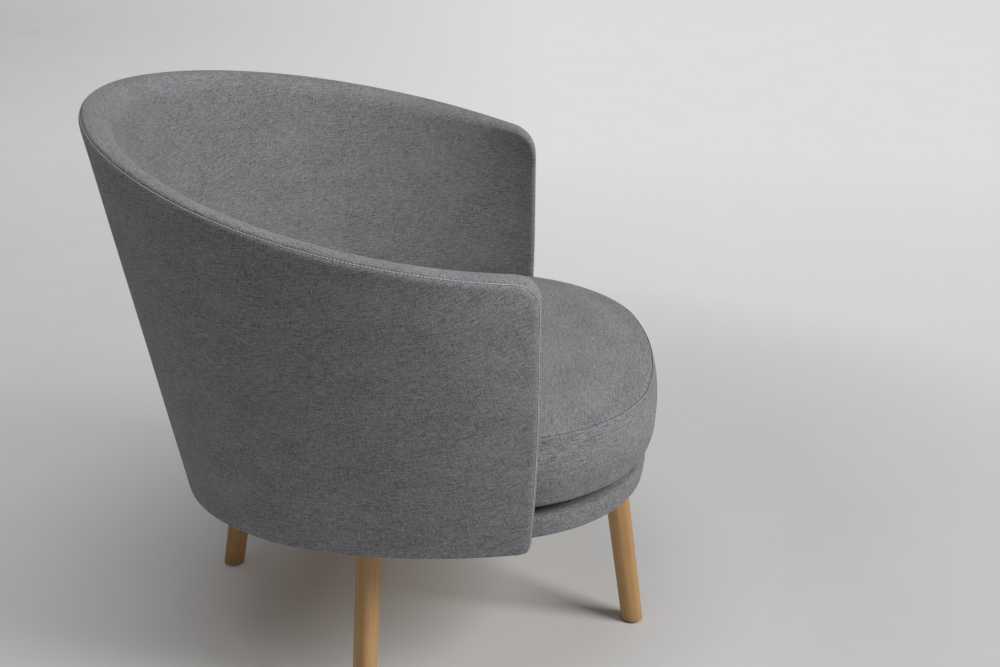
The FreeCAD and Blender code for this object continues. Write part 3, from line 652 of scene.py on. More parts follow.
@dataclass(frozen=True)
class SideProfile:
    """The shell seen from the side: upright arm fronts, rounded corners, and a rim that rises to the back."""

    arm_front: float = 0.1444
    front_height: float = 0.598
    back_height: float = 0.7195
    back_reach: float = 0.42762
    sag: float = 0.0035
    corner: float = 0.038
    foot_height: float = 0.2425
    foot_corner: float = 0.008
    front_bulge: float = 0.002
    front_tuck: float = 0.0035

    @property
    def slope(self) -> float:
        """Rise of the rim for each unit towards the back."""
        return (self.back_height - self.front_height) / (self.back_reach + self.arm_front)

    def rim(self, y: Grid, inset: Grid) -> Grid:
        """Height of the rim, drawn in by an inset."""
        share = (y + self.arm_front) / (self.back_reach + self.arm_front)
        line = self.front_height + self.slope * (y + self.arm_front) - 4 * self.sag * share * (1 - share)
        return line - inset * math.hypot(1, self.slope)

    def front_shift(self, height: Grid) -> Grid:
        """How far back the arm's front lies of its plain upright line, at some heights."""
        share = np.clip((height - self.foot_height) / (self.front_height - self.foot_height), 0, 1)
        low = np.clip(self.foot_corner - (height - self.foot_height), 0, self.foot_corner)
        rounding = self.foot_corner - np.sqrt(self.foot_corner ** 2 - low ** 2)
        return rounding + self.front_tuck * (1 - share) ** 6 - self.front_bulge * np.sin(math.pi * share) ** 2

    @property
    def corner_centre(self) -> tuple[float, float]:
        """Centre (y, z) of the rounding of the arm's top front corner."""
        y = -self.arm_front + self.corner
        return y, float(self.rim(np.float64(y), self.corner))

    @property
    def corner_turn(self) -> float:
        """Angle of that rounding, from the arm's front to the rim."""
        return math.pi / 2 - math.atan(self.slope)


class Side(Enum):
    """The two skins of the shell, by the depth mark of their face (see ShellUpholstery.depth_at)."""

    OUTER = 0.0
    INNER = -1.0


@dataclass
class ShellUpholstery:
    """The arm and back shell's sewn covers: an outer panel, and an inner cover that runs over the rim."""

    plan: TubPlan = field(default_factory=TubPlan)
    profile: SideProfile = field(default_factory=SideProfile)
    wall_at_foot: float = 0.0192
    wall_at_brim: float = 0.0342
    outer_rounding: float = 0.009
    inner_rounding: float = 0.019
    front_share: float = 0.38
    front_blend: float = 0.2
    rim_crown: float = 0.0036
    level_from: float = 62.0
    level_over: float = 28.0
    foot_rounding: float = 0.003
    foot_tuck: tuple[tuple[float, float], ...] = ((0.0, 0.0016), (0.0003, 0.0007), (0.0022, 0.00025))
    seam_drop: float = 0.0022
    groove_depth: float = 0.0007
    groove_width: float = 0.0009
    dip_depth: float = 0.00025
    dip_width: float = 0.0045
    outer_insets: tuple[float, ...] = (0.030, 0.024, 0.019, 0.015, 0.012, 0.0098)
    inner_insets: tuple[float, ...] = (0.021, 0.0235, 0.027, 0.031)
    unevenness: tuple[float, float] = (0.35 * MM, 0.6 * MM)
    front_rows: int = 30
    corner_rows: int = 10
    rim_columns: int = 150
    settle_steps: int = 14
    cloth_thickness: float = 0.0035
    stitch: Row = (0.0034, 0.0007, 0.0005)
    stitch_sink: float = 0.1 * MM

    def wall(self, height: Grid) -> Grid:
        """Level thickness of the wall at some heights."""
        return self.wall_at_foot + (self.wall_at_brim - self.wall_at_foot) * self.plan.share(height)

    def depth_at(self, depth: Grid | float, height: Grid) -> Grid:
        """Depth in metres of border rows at some heights: the roundings thin with the wall.

        Args:
            depth: depth from the outer face, or, below nought, minus one for the inner face.
            height: heights above the floor.

        Returns:
            The depths below the outer face.
        """
        wall = self.wall(height)
        share = np.minimum(1, wall / self.wall_at_brim)
        return np.where(np.asarray(depth) >= 0, depth * share, wall + (depth + 1) * share)

    def border(self, inset: float, depth: float) -> tuple[Grid, Grid]:
        """Plan turns and heights along the border, drawn in by an inset, at a depth in the wall.

        Args:
            inset: distance inside the side profile's edge.
            depth: depth as depth_at takes it.

        Returns:
            Turns and heights from the foot of the +X arm's front to the foot of the -X arm's front.
        """
        profile, plan = self.profile, self.plan
        centre_y, centre_z = profile.corner_centre
        front_z = np.linspace(plan.foot_height + self.foot_rounding, centre_z, self.front_rows + 1)[:-1]
        front_y = profile.front_shift(front_z) - profile.arm_front + inset
        angle = np.linspace(0, profile.corner_turn, self.corner_rows + 1)[:-1]
        y = np.concatenate([front_y, centre_y - (profile.corner - inset) * np.cos(angle)])
        z = np.concatenate([front_z, centre_z + (profile.corner - inset) * np.sin(angle)])
        turns = plan.turn_at(y, z, self.depth_at(depth, z))
        last_y = centre_y - profile.corner * math.cos(profile.corner_turn)
        last_z = centre_z + profile.corner * math.sin(profile.corner_turn)
        last = float(plan.turn_at(np.float64(last_y), np.float64(last_z), np.float64(0)))
        base = np.linspace(-last, last, self.rim_columns + 1)
        height = np.full_like(base, profile.front_height)
        for _ in range(self.settle_steps):
            height = profile.rim(plan.level_point(base, height, 0)[..., 1], 0)
        start = plan.level_point(base, height, 0)[..., 1]
        lean = math.sin(math.atan(profile.slope))
        share = eased((np.abs(base) - math.radians(self.level_from)) / math.radians(self.level_over))
        for _ in range(self.settle_steps):
            here = self.depth_at(depth, height)
            level = np.sign(base) * plan.turn_at(start + inset * lean, height, here)
            rim_turn = base + share * (level - base)
            height = profile.rim(plan.level_point(rim_turn, height, here)[..., 1], inset)
        return np.concatenate([-turns, rim_turn, turns[::-1]]), np.concatenate([z, height, z[::-1]])

    def border_points(self, inset: float, depth: float) -> Grid:
        """Places along the border, drawn in by an inset, at a depth. See border."""
        turns, heights = self.border(inset, depth)
        return self.plan.point(turns, heights, self.depth_at(depth, heights))

    def seam_angle(self) -> float:
        """Where the seam lies on the outer rounding, as an angle from the outer face."""
        return math.asin(1 - self.seam_drop / self.outer_rounding)

    def rim_width(self) -> float:
        """Length of cloth from the seam over the rim to the inner face."""
        flat = self.wall_at_brim - self.outer_rounding - self.inner_rounding
        first = self.outer_rounding * (math.pi / 2 - self.seam_angle())
        return first + flat + self.inner_rounding * math.pi / 2

    def rounding_row(self, angle: float, off: float) -> Row:
        """A row on the outer rounding at an angle from the outer face, drawn in near the seam."""
        drawn = hill(off, self.groove_depth, self.groove_width) + hill(off, self.dip_depth, self.dip_width)
        radius = self.outer_rounding
        reach = radius - drawn
        return radius - reach * math.sin(angle), radius - reach * math.cos(angle), off

    def outer_strip(self) -> list[Row]:
        """Rows from the panel's inset to the seam: inset, depth and distance from the seam."""
        end = self.seam_angle()
        arc = self.outer_rounding * end
        rows = [(inset, 0.0, inset - self.outer_rounding + arc) for inset in self.outer_insets]
        return rows + [self.rounding_row(end * share, arc * (1 - share))
                       for share in (0.0, 0.28, 0.52, 0.7, 0.82, 0.9, 0.96, 1.0)]

    def inner_strip(self) -> list[Row]:
        """Rows from the seam over the rim to the inner face: inset, depth and distance from the seam.

        A depth below nought is measured back from the inner face, which is minus one.
        """
        start, inner, length = self.seam_angle(), self.inner_rounding, self.rim_width()
        sweep = math.pi / 2 - start
        rows = [self.rounding_row(start + sweep * share, self.outer_rounding * sweep * share)
                for share in (0.0, 0.05, 0.11, 0.2, 0.34, 0.55, 0.78, 1.0)]
        for share in (0.0, 0.16, 0.33, 0.5, 0.67, 0.84, 1.0):
            angle = share * math.pi / 2
            rows.append((inner * (1 - math.cos(angle)), -1 - inner * (1 - math.sin(angle)),
                         length + inner * (angle - math.pi / 2)))
        return rows + [(inset, -1.0, length + inset - inner) for inset in self.inner_insets]

    def front_row(self, inset: float, depth: float) -> tuple[float, float]:
        """The inset and depth of a row of the inner rounding where it runs down the arms' fronts."""
        if depth < 0 and inset <= self.inner_rounding:
            return inset * self.front_share, (depth + 1) * self.front_share - 1
        return inset, depth

    def crowned(self, inset: float, depth: float, share: float) -> Grid:
        """Places along the border, raised by the padding under the rim at a share of the way over it."""
        places = self.border_points(inset, depth)
        run = run_along(places)
        along = eased((np.minimum(run, run[-1] - run) - run[self.front_rows]) / self.front_blend)[:, None]
        front = self.border_points(*self.front_row(inset, depth))
        mixed = front + (places - front) * along
        if not 0 < share < 1:
            return mixed
        outward = places - self.border_points(inset + MM, depth)
        outward /= np.linalg.norm(outward, axis=1)[:, None]
        return mixed + outward * (0.15 + 0.85 * along) * self.rim_crown * math.sin(math.pi * share ** 0.8)

    def strip(self, draft: MeshDraft, rows: list[Row], side: Side) -> np.ndarray:
        """Adds a border strip's vertices, one grid column for each row of the list.

        The cloth lies unstretched: each row is as far from the face's edge on the flat cloth as in place.
        """
        outer = side is Side.OUTER
        run = run_along(self.border_points(self.seam_drop, 0.0))
        over = self.rim_width()
        places = np.stack([self.border_points(inset, depth) if outer
                           else self.crowned(inset, depth, off / over) for inset, depth, off in rows], 1)
        seam = crossed(run, np.array(rows)[:, 2])
        gaps = np.linalg.norm(np.diff(places, axis=1), axis=2)
        start = np.zeros((len(run), 1))
        if outer:
            reach = np.hstack([start, np.cumsum(gaps, axis=1)])
        else:
            reach = np.hstack([np.cumsum(gaps[:, ::-1], axis=1)[:, ::-1], start])
        inset = rows[0 if outer else -1][0]
        edge, within = (self.plan.flattened(*self.border(at, side.value)) for at in (inset, inset + MM))
        outward = (edge - within) / np.linalg.norm(edge - within, axis=1)[:, None]
        return draft.add(places, edge[:, None] + outward[:, None] * reach[..., None], seam)

    def panel_edges(self, inset: float, side: Side) -> tuple[Grid, Grid, Grid, Grid]:
        """The edges of a face inside its border strip, each as rows of plan turn and height.

        Args:
            inset: distance inside the side profile's edge.
            side: which face.

        Returns:
            The left, right, top and lower edge, and the last two run from left to right.
        """
        border = np.stack(self.border(inset, side.value), -1)
        rows = self.front_rows + self.corner_rows // 2
        left, right, top = border[:rows + 1], border[::-1][:rows + 1], border[rows:-rows]
        spread = (top[:, :1] - top[0, 0]) / (top[-1, 0] - top[0, 0])
        return left, right, top, left[0] + (right[0] - left[0]) * spread

    def panel(self, draft: MeshDraft, inset: float, side: Side) -> np.ndarray:
        """Adds the vertices of a face inside its border strip. The first axis runs across the chair."""
        left, right, top, foot = self.panel_edges(inset, side)
        u = ((top[:, 0] - top[0, 0]) / (top[-1, 0] - top[0, 0]))[:, None, None]
        v = ((left[:, 1] - left[0, 1]) / (left[-1, 1] - left[0, 1]))[None, :, None]
        grid = (1 - v) * foot[:, None] + v * top[:, None] + (1 - u) * left[None] + u * right[None]
        grid = grid - ((1 - u) * (1 - v) * foot[0] + u * (1 - v) * foot[-1]
                       + (1 - u) * v * top[0] + u * v * top[-1])
        turn, height = grid[..., 0], grid[..., 1]
        deep = self.depth_at(side.value, height) + self.softness(turn, height, side)
        return draft.add(self.plan.point(turn, height, deep), self.plan.flattened(turn, height))

    def softness(self, turn: Grid, height: Grid, side: Side) -> Grid:
        """Slight unevenness of the padding, in metres, nought at the border."""
        wave = np.sin(7.3 * turn + 1.1) * np.sin(17 * height) + 0.6 * np.sin(15.1 * turn - 23 * height + 0.4)
        size = self.unevenness[0 if side is Side.OUTER else 1]
        edge = np.clip((height - self.plan.foot_height) / 0.06, 0, 1)
        u = np.linspace(0, 1, turn.shape[0])[:, None]
        v = np.linspace(0, 1, turn.shape[1])[None]
        fade = np.clip(12 * u * (1 - u), 0, 1) * np.clip(4 * (1 - v), 0, 1) * edge
        return size * wave * fade * fade

    def inward(self, inset: float, depth: float) -> tuple[float, float]:
        """The inward direction (inset, depth) on the wall's rounded contour at a row of a border strip."""
        outer = depth >= 0
        rounding = self.outer_rounding if outer else self.inner_rounding * self.front_share
        below = depth if outer else -1 - depth
        way = (rounding - inset, rounding - below) if inset < rounding else (0.0, 1.0)
        length = math.hypot(*way)
        return way[0] / length, way[1] / (length if outer else -length)

    def foot_steps(self) -> list[tuple[float, float]]:
        """Rows (rise above the foot, reach inward) that turn a cover in to the middle of the wall."""
        rounding = self.foot_rounding
        half = 0.5 * float(self.wall(np.float64(self.plan.foot_height)))
        rows = [(rounding * (1 - math.sin(angle)), rounding * (1 - math.cos(angle)))
                for angle in (0.0, 0.4, 0.8, 1.2, math.pi / 2)]
        return rows + [(rise, half - short) for rise, short in self.foot_tuck]

    def close_foot(self, draft: MeshDraft, inset: float, rows: list[Row], side: Side) -> None:
        """Turns the lowest row of a cover's face and strips in under the foot."""
        plan, profile, outer = self.plan, self.profile, side is Side.OUTER
        face_turns = self.panel_edges(inset, side)[3][1:-1, 0]
        marks = np.array([self.front_row(*row[:2]) for row in (rows[::-1] if outer else rows)])
        ways = np.array([self.inward(*mark) for mark in marks])
        places, cloth = [], []
        shift = 0.0
        for rise, reach in self.foot_steps():
            height = np.float64(plan.foot_height + rise)
            shift = max(shift, float(profile.front_shift(height)))
            edge_deep = self.depth_at(marks[:, 1], height) + reach * ways[:, 1]
            edge_turns = plan.turn_at(shift - profile.arm_front + marks[:, 0] + reach * ways[:, 0],
                                      height, edge_deep)
            face_deep = np.full(len(face_turns), reach if outer else float(self.wall(height)) - reach)
            turns = np.concatenate([-edge_turns, face_turns, edge_turns[::-1]])
            deep = np.concatenate([edge_deep, face_deep, edge_deep[::-1]])
            lower = np.full_like(turns, plan.foot_height + self.foot_rounding - reach)
            places.append(plan.point(turns, height, deep))
            cloth.append(plan.flattened(turns, lower))
        draft.quads(draft.add(np.stack(places, 1), np.stack(cloth, 1)))

    def cover(self, side: Side) -> bpy.types.Object:
        """One closed cover: its face, its border strip and its turned-in foot."""
        outer = side is Side.OUTER
        draft = MeshDraft()
        rows = self.outer_strip() if outer else self.inner_strip()
        inset = rows[0 if outer else -1][0]
        draft.quads(self.panel(draft, inset, side))
        draft.quads(self.strip(draft, rows, side))
        self.close_foot(draft, inset, rows, side)
        piece = draft.piece("shell_outer_panel" if outer else "shell_inner_cover_and_rim", not outer)
        thicken(piece, self.cloth_thickness)
        subdivision = piece.modifiers.new("Subdivision", "SUBSURF")
        subdivision.levels = subdivision.render_levels = 1
        return piece

    def stitches(self) -> bpy.types.Object:
        """Short thread stitches that lie in the seam, all along the rim and down the arms' fronts."""
        end = self.seam_angle()
        reach = self.outer_rounding - self.stitch_sink
        path = self.border_points(self.outer_rounding - reach * math.sin(end),
                                  self.outer_rounding - reach * math.cos(end))
        return stitched_row("shell_seam_stitches", path, *self.stitch)

    def build(self) -> None:
        """Builds and dresses the shell's covers and seam."""
        cloth = MelangeCloth("melange_cloth")
        outer = self.cover(Side.OUTER)
        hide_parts("shell_outer_cover")
        inner = self.cover(Side.INNER)
        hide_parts("shell_inner_cover")
        for piece in (outer, inner):
            dress(piece, cloth)
        dress(self.stitches(), SewingThread("pale_thread"))


def stitched_row(name: str, path: Grid, length: float, gap: float, radius: float) -> bpy.types.Object:
    """Small sunk thread stitches along a path.

    Args:
        name: the piece's name.
        path: places along the seam.
        length: length of a stitch.
        gap: space between stitches.
        radius: half the thread's thickness.

    Returns:
        The piece.
    """
    run = run_along(path)
    draft = MeshDraft()
    angle = all_round(6)[:, None]
    for index in range(int(run[-1] // (length + gap))):
        middle = (index + 0.5) * (length + gap)
        centre, ahead = (np.array([np.interp(place, run, path[:, axis]) for axis in range(3)])
                         for place in (middle, middle + length / 2))
        along = (ahead - centre) / np.linalg.norm(ahead - centre)
        across = np.cross(along, (0.0, 0.0, 1.0) if abs(along[2]) < 0.9 else (1.0, 0.0, 0.0))
        across /= np.linalg.norm(across)
        spokes = np.cos(angle) * across + np.sin(angle) * np.cross(along, across)
        rings = [centre + along * (place * length) + radius * share * spokes for place, share in STITCH_SWELL]
        draft.tube(draft.add(np.stack(rings, 1)))
    return draft.piece(name)


@dataclass(frozen=True)
class SeatPlan:
    """The rounded-square plan of the seat base and cushion: four side arcs and four tighter corner arcs."""

    base_reach: float = 0.2987
    side_share: float = 1.9367
    side_turn: float = 12.05

    def outline(self, reach: float, inset: float, angle: Grid) -> Grid:
        """Places (x, y from the axis) at the outline's normal angles, drawn in by an inset."""
        turn = math.radians(self.side_turn)
        side = self.base_reach * self.side_share
        corner = side - (side - reach) / (math.cos(turn) - math.sin(turn))
        right_angle = math.pi / 2
        nearest = np.round(angle / right_angle)
        local = angle - nearest * right_angle
        flat = np.abs(local) <= turn
        side_centre = unit(nearest * right_angle) * (reach - side)
        bend = unit((nearest + np.sign(local) * 0.5) * right_angle)
        corner_reach = math.sqrt(2) * (side - corner) * math.sin(turn)
        centre = np.where(flat[..., None], side_centre, bend * corner_reach)
        return centre + unit(angle) * (np.where(flat, side, corner) - inset)[..., None]


@dataclass
class SeatBase:
    """The upholstered disc below the cushion, with its cover folded in underneath."""

    plan: SeatPlan = field(default_factory=SeatPlan)
    underside: float = 0.2485
    top: float = 0.2897
    top_rounding: float = 0.0065
    ledge_drop: float = 0.0125
    lower_rounding: float = 0.006
    swell: float = 0.0006
    ring_inset: float = 0.0067
    turn_under: float = 0.0147
    fold_rise: float = 0.0009
    cloth_rise: float = 0.0013
    inner_top: float = 0.2742
    ledge: tuple[tuple[float, float], ...] = (
        (0.011, 0.02), (0.018, 0.07), (0.026, 0.18), (0.034, 0.42), (0.042, 0.86), (0.048, 1.0))
    around: int = 176

    def section(self) -> list[tuple[float, float]]:
        """Rows (inset, height) from the folded edge below, round the side and up the ledge to the top."""
        under, low, high = self.underside, self.lower_rounding, self.top_rounding
        edge = self.top - self.ledge_drop
        rows = [(self.turn_under, under + self.fold_rise), (self.turn_under - 0.0006, under),
                (0.0105, under), (0.0075, under)]
        rows += [(low * (1 - math.sin(angle)), under + low * (1 - math.cos(angle))) for angle in quarter(5)]
        span = edge - high - under - low
        rows += [(-self.swell, under + low + span * share) for share in (0.3, 0.7)]
        rows += [(high * (1 - math.cos(angle)), edge - high * (1 - math.sin(angle))) for angle in quarter(6)]
        return rows + [(inset, edge + self.ledge_drop * rise) for inset, rise in self.ledge]

    def build(self) -> None:
        """Builds and dresses the cover, whose folded edge runs back inside to the board's underside."""
        draft = MeshDraft()
        angle = all_round(self.around)
        outer = self.section()
        inside = self.underside + self.cloth_rise
        rows = [(inset, height, 1.0) for inset, height in outer]
        rows += [(outer[-1][0], self.top, share) for share in (0.9, 0.7, 0.45, 0.2, 0.04)]
        top = len(rows)
        rows += [(self.ring_inset, self.inner_top, share) for share in (0.04, 0.3, 0.6, 0.9, 1.0)]
        rows += [(self.ring_inset, inside, 1.0), (self.turn_under - 0.001, inside, 1.0)]
        down = run_along(np.array(rows)[:, :2])
        length = run_along(self.plan.outline(self.plan.base_reach, 0, angle))
        places = [placed(self.plan.outline(self.plan.base_reach, inset, angle) * share, height)
                  for inset, height, share in rows]
        numbers = draft.add(np.stack(places, 1), crossed(length, down))
        draft.quads(numbers[:, :top], closed=True)
        draft.quads(np.hstack([numbers[:, top:], numbers[:, :1]]), closed=True)
        draft.cap(numbers[:, top - 1])
        draft.cap(numbers[:, top])
        piece = draft.piece("seat_base_upholstery")
        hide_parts("seat_base_cover", "seat_board")
        dress(piece, MelangeCloth("melange_cloth"))


@dataclass(frozen=True)
class CushionAir:
    """The cloth simulation that blows the cushion up."""

    shrink: float = 3.0 * MM
    voxel: float = 7 * MM
    pressure: float = 4.0
    stiffness: float = 30
    bending: float = 4.0
    last_step: int = 20
    search: float = 0.03
    side_limit: float = 2.2 * MM
    top_limit: float = 3.0 * MM

    def form(self, body: bpy.types.Object) -> BVHTree:
        """Blows a closed body up, takes it away again and returns its form.

        Args:
            body: the body, a little smaller than the cushion.

        Returns:
            The surface after the last step.
        """
        scene = bpy.context.scene
        bpy.context.view_layer.objects.active = body
        remesh = body.modifiers.new("Remesh", "REMESH")
        remesh.mode = "VOXEL"
        remesh.voxel_size = self.voxel
        graph = bpy.context.evaluated_depsgraph_get()
        mesh = bpy.data.meshes.new_from_object(body.evaluated_get(graph))
        body.modifiers.remove(remesh)
        body.data = mesh
        cloth = body.modifiers.new("Cloth", "CLOTH")
        settings = cloth.settings
        settings.quality = 5
        settings.use_pressure = True
        settings.uniform_pressure_force = self.pressure
        settings.effector_weights.gravity = 0.0
        settings.tension_stiffness = settings.compression_stiffness = self.stiffness
        settings.bending_stiffness = self.bending
        cloth.point_cache.frame_start = 1
        cloth.point_cache.frame_end = self.last_step
        for number in range(1, self.last_step + 1):
            scene.frame_set(number)
        graph = bpy.context.evaluated_depsgraph_get()
        form = BVHTree.FromObject(body.evaluated_get(graph), graph)
        scene.frame_set(1)
        bpy.data.objects.remove(body, do_unlink=True)
        return form

    def softened(self, places: Grid, ways: Grid, form: BVHTree | None, limit: float, hold: Grid) -> Grid:
        """Places moved along their normals to the blown-up form.

        Args:
            places: a grid of places round the cushion.
            ways: their normals.
            form: the blown-up form, or None to leave the places as they are.
            limit: the most that a place moves.
            hold: share of the move for each row.

        Returns:
            The moved places.
        """
        if form is None:
            return places
        offsets = np.zeros(places.shape[:-1])
        for index in np.ndindex(offsets.shape):
            place, way = Vector(places[index]), Vector(ways[index])
            hit, _, _, distance = form.ray_cast(place + way * self.search, -way, 2 * self.search)
            if hit is not None:
                offsets[index] = self.search - distance
        offsets = np.clip(offsets - np.median(offsets), -limit, limit) * hold
        for _ in range(6):
            offsets = (offsets + np.roll(offsets, 1, 0) + np.roll(offsets, -1, 0)) / 3
        return places + ways * offsets[..., None]


@dataclass
class SeatCushion:
    """The boxed cushion: blown up as cloth, then sewn round its top edge, with a zip at the back."""

    plan: SeatPlan = field(default_factory=SeatPlan)
    air: CushionAir = field(default_factory=CushionAir)
    reach: float = 0.31004
    underside: float = 0.290
    seam_height: float = 0.0952
    crown: float = 0.0113
    crown_width: float = 0.19
    bulge_height: float = 0.047
    bulge_radius: float = 0.162
    lower_rounding: float = 0.0165
    around: int = 232
    seam_drops: tuple[float, ...] = (0.0105, 0.0075, 0.005, 0.0034, 0.0022, 0.0012, 0.0005)
    top_steps: tuple[float, ...] = (
        0.0, 0.0006, 0.0014, 0.0026, 0.0042, 0.0065, 0.010, 0.016, 0.025, 0.038, 0.055, 0.075, 0.098,
        0.122, 0.146, 0.168, 0.19)
    side_ridge: Row = (0.55 * MM, 1.7 * MM, 3.2 * MM)
    side_draw: tuple[float, float] = (1.5 * MM, 1.0 * MM)
    top_draw: tuple[float, float] = (1.7 * MM, 1.1 * MM)
    top_pull: tuple[float, float] = (0.35 * MM, 6 * MM)
    side_hold: float = 0.02
    top_hold: float = 0.05
    stitch: Row = (3.3 * MM, 0.25 * MM, 0.24 * MM)
    zip_height: float = 0.045
    zip_half_angle: float = 50.0
    zip_width: float = 0.016
    tape_proud: float = 0.35 * MM
    tape_thickness: float = 0.8 * MM
    coil: Row = (0.75 * MM, 0.45 * MM, 0.9 * MM)

    def side_reach(self, height: float) -> float:
        """How far the bulging side is drawn in at a height above the underside."""
        lift = height - self.bulge_height
        return self.bulge_radius - math.sqrt(self.bulge_radius ** 2 - lift ** 2)

    def section(self) -> list[Row]:
        """Rows (inset, height, distance below the seam) from the underside round to the seam."""
        low, seam = self.lower_rounding, self.seam_height
        rows = [(self.side_reach(low) + low * (1 - math.sin(angle)), low * (1 - math.cos(angle)))
                for angle in quarter(5)]
        heights = [low + (seam - low) * share for share in np.linspace(0.12, 0.84, 8)]
        heights += [seam - drop for drop in self.seam_drops]
        rows += [(self.side_reach(height), height) for height in heights]
        return [(inset, height, seam - height) for inset, height in rows]

    def top_rows(self) -> list[Row]:
        """Rows (inset, height, distance from the seam) from the seam inward over the crowned top."""
        radius = (self.crown_width ** 2 + self.crown ** 2) / (2 * self.crown)
        base = self.seam_height - radius + self.crown
        start = self.side_reach(self.seam_height)
        return [(start + step, base + math.sqrt(radius ** 2 - (self.crown_width - step) ** 2), step)
                for step in self.top_steps]

    def ring(self, inset: float, height: float, share: float = 1.0) -> Grid:
        """One ring of places round the cushion."""
        return self.arc(all_round(self.around), inset, height, share)

    def arc(self, angle: Grid, inset: float, height: float, share: float = 1.0) -> Grid:
        """Places round the cushion at some angles."""
        return placed(self.plan.outline(self.reach, inset, angle) * share, self.underside + height)

    def blown_up(self) -> BVHTree | None:
        draft = MeshDraft()
        shrink = self.air.shrink
        rows = [(inset + shrink, max(height, 0.0)) for inset, height, _ in self.section()[:-5]]
        rows += [(inset + shrink, height - shrink) for inset, height, _ in self.top_rows()[4:]]
        rings = [self.ring(rows[0][0], 0.0, share) for share in (0.15, 0.4, 0.65, 0.85)]
        rings += [self.ring(inset, height) for inset, height in rows]
        rings += [self.ring(*rows[-1], share) for share in (0.75, 0.5, 0.25)]
        draft.tube(draft.add(np.stack(rings, 1)))
        return self.air.form(draft.piece("cushion_for_simulation"))

    def side_grid(self, form: BVHTree | None) -> Grid:
        """Places on the cushion's side, with the ridge and the drawn-in cloth below the seam."""
        rows = self.section()
        grid = np.stack([self.ring(inset + hill(off, *self.side_draw) - hill(off, *self.side_ridge), height)
                         for inset, height, off in rows], 1)
        hold = np.array([min(1.0, off / self.side_hold) * min(1.0, height / self.side_hold)
                         for _, height, off in rows])
        angle = all_round(self.around)
        outward = np.concatenate([unit(angle), np.zeros((self.around, 1))], -1)
        ways = np.repeat(outward[:, None], len(rows), 1)
        return self.air.softened(grid, ways, form, self.air.side_limit, hold)

    def top_grid(self, form: BVHTree | None) -> Grid:
        """Places on the cushion's top, from the drawn-in seam to the middle."""
        rings, hold = [], []
        for inset, height, off in self.top_rows():
            draw = hill(off, *self.top_draw)
            rings.append(self.ring(inset + 0.4 * draw, height - draw - hill(off, *self.top_pull)))
            hold.append(min(1.0, off / self.top_hold))
        last, level, _ = self.top_rows()[-1]
        for share in (0.84, 0.66, 0.48, 0.3, 0.12):
            rings.append(self.ring(last, level, share))
            hold.append(1.0)
        grid = np.stack(rings, 1)
        upward = np.broadcast_to(np.array([0.0, 0.0, 1.0]), grid.shape)
        return self.air.softened(grid, upward, form, self.air.top_limit, np.array(hold))

    def build(self) -> None:
        """Builds and dresses the cushion, its seam thread, whose near-black tone is painted shade, and its
        zip.
        """
        draft = MeshDraft()
        form = self.blown_up()
        length = run_along(self.ring(0, self.seam_height))
        side, top = self.side_grid(form), self.top_grid(form)
        below = self.section()
        side_cloth, side_seam = (crossed(length, np.array(below)[:, part]) for part in (1, 2))
        top_seam = np.ones((*top.shape[:2], 2))
        top_seam[:, :len(self.top_steps)] = crossed(length, np.array(self.top_steps))
        bottom = np.stack([self.ring(below[0][0], 0.0, share) for share in (0.1, 0.4, 0.7, 0.93)], 1)
        bottom_numbers = draft.add(bottom, bottom[..., :2])
        side_numbers = draft.add(side, side_cloth, side_seam)
        top_numbers = draft.add(top, top[..., :2], top_seam)
        draft.tube(np.hstack([bottom_numbers, side_numbers, top_numbers]))
        piece = draft.piece("seat_cushion")
        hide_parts("cushion_cover", "cushion_core")
        dress(piece, MelangeCloth("melange_cloth"))
        self.build_seam()
        self.build_zip()

    def build_seam(self) -> None:
        """The dark thread line in the seam round the top edge: real stitches, their near-black tone painted
        shade of the seam's groove.
        """
        path = self.ring(self.side_reach(self.seam_height) + 0.7 * MM, self.seam_height - 0.3 * MM)
        piece = stitched_row("cushion_seam_shade_stitches", np.vstack([path, path[:1]]), *self.stitch)
        # Painted shade: the thread's near-black tone stands in for the shade in the seam's groove.
        dress(piece, SewingThread("seam_shade_thread", (0.045, 0.045, 0.048)))

    def build_zip(self) -> None:
        """The zip at the back: two tapes and their closed coil."""
        half = math.radians(self.zip_half_angle)
        angle = np.linspace(-half, half, 121)
        rows = []
        for across in (-0.5, -0.47, -0.3, -0.14, -0.1, 0.1, 0.14, 0.3, 0.47, 0.5):
            height = self.zip_height + across * self.zip_width
            proud = self.tape_proud if 0.13 < abs(across) < 0.48 else -0.2 * MM
            rows.append(self.arc(angle, self.side_reach(height) - proud, height))
        grid = np.stack(rows, 1)
        length = np.repeat(run_along(grid[:, 0])[:, None], grid.shape[1], 1)
        draft = MeshDraft()
        draft.quads(draft.add(grid, np.stack([length, grid[..., 2]], -1)))
        tape = draft.piece("cushion_zip_tape")
        thicken(tape, self.tape_thickness)
        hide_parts("cushion_zip")
        dress(tape, ZipTape("zip_tape"))
        sunk = self.side_reach(self.zip_height) - 0.1 * MM
        path = self.arc(np.linspace(-half, half, 601), sunk, self.zip_height)
        coil = stitched_row("cushion_zip_coil", path, *self.coil)
        dress(coil, Plastic("zip_coil", (0.035, 0.035, 0.038), 0.4))


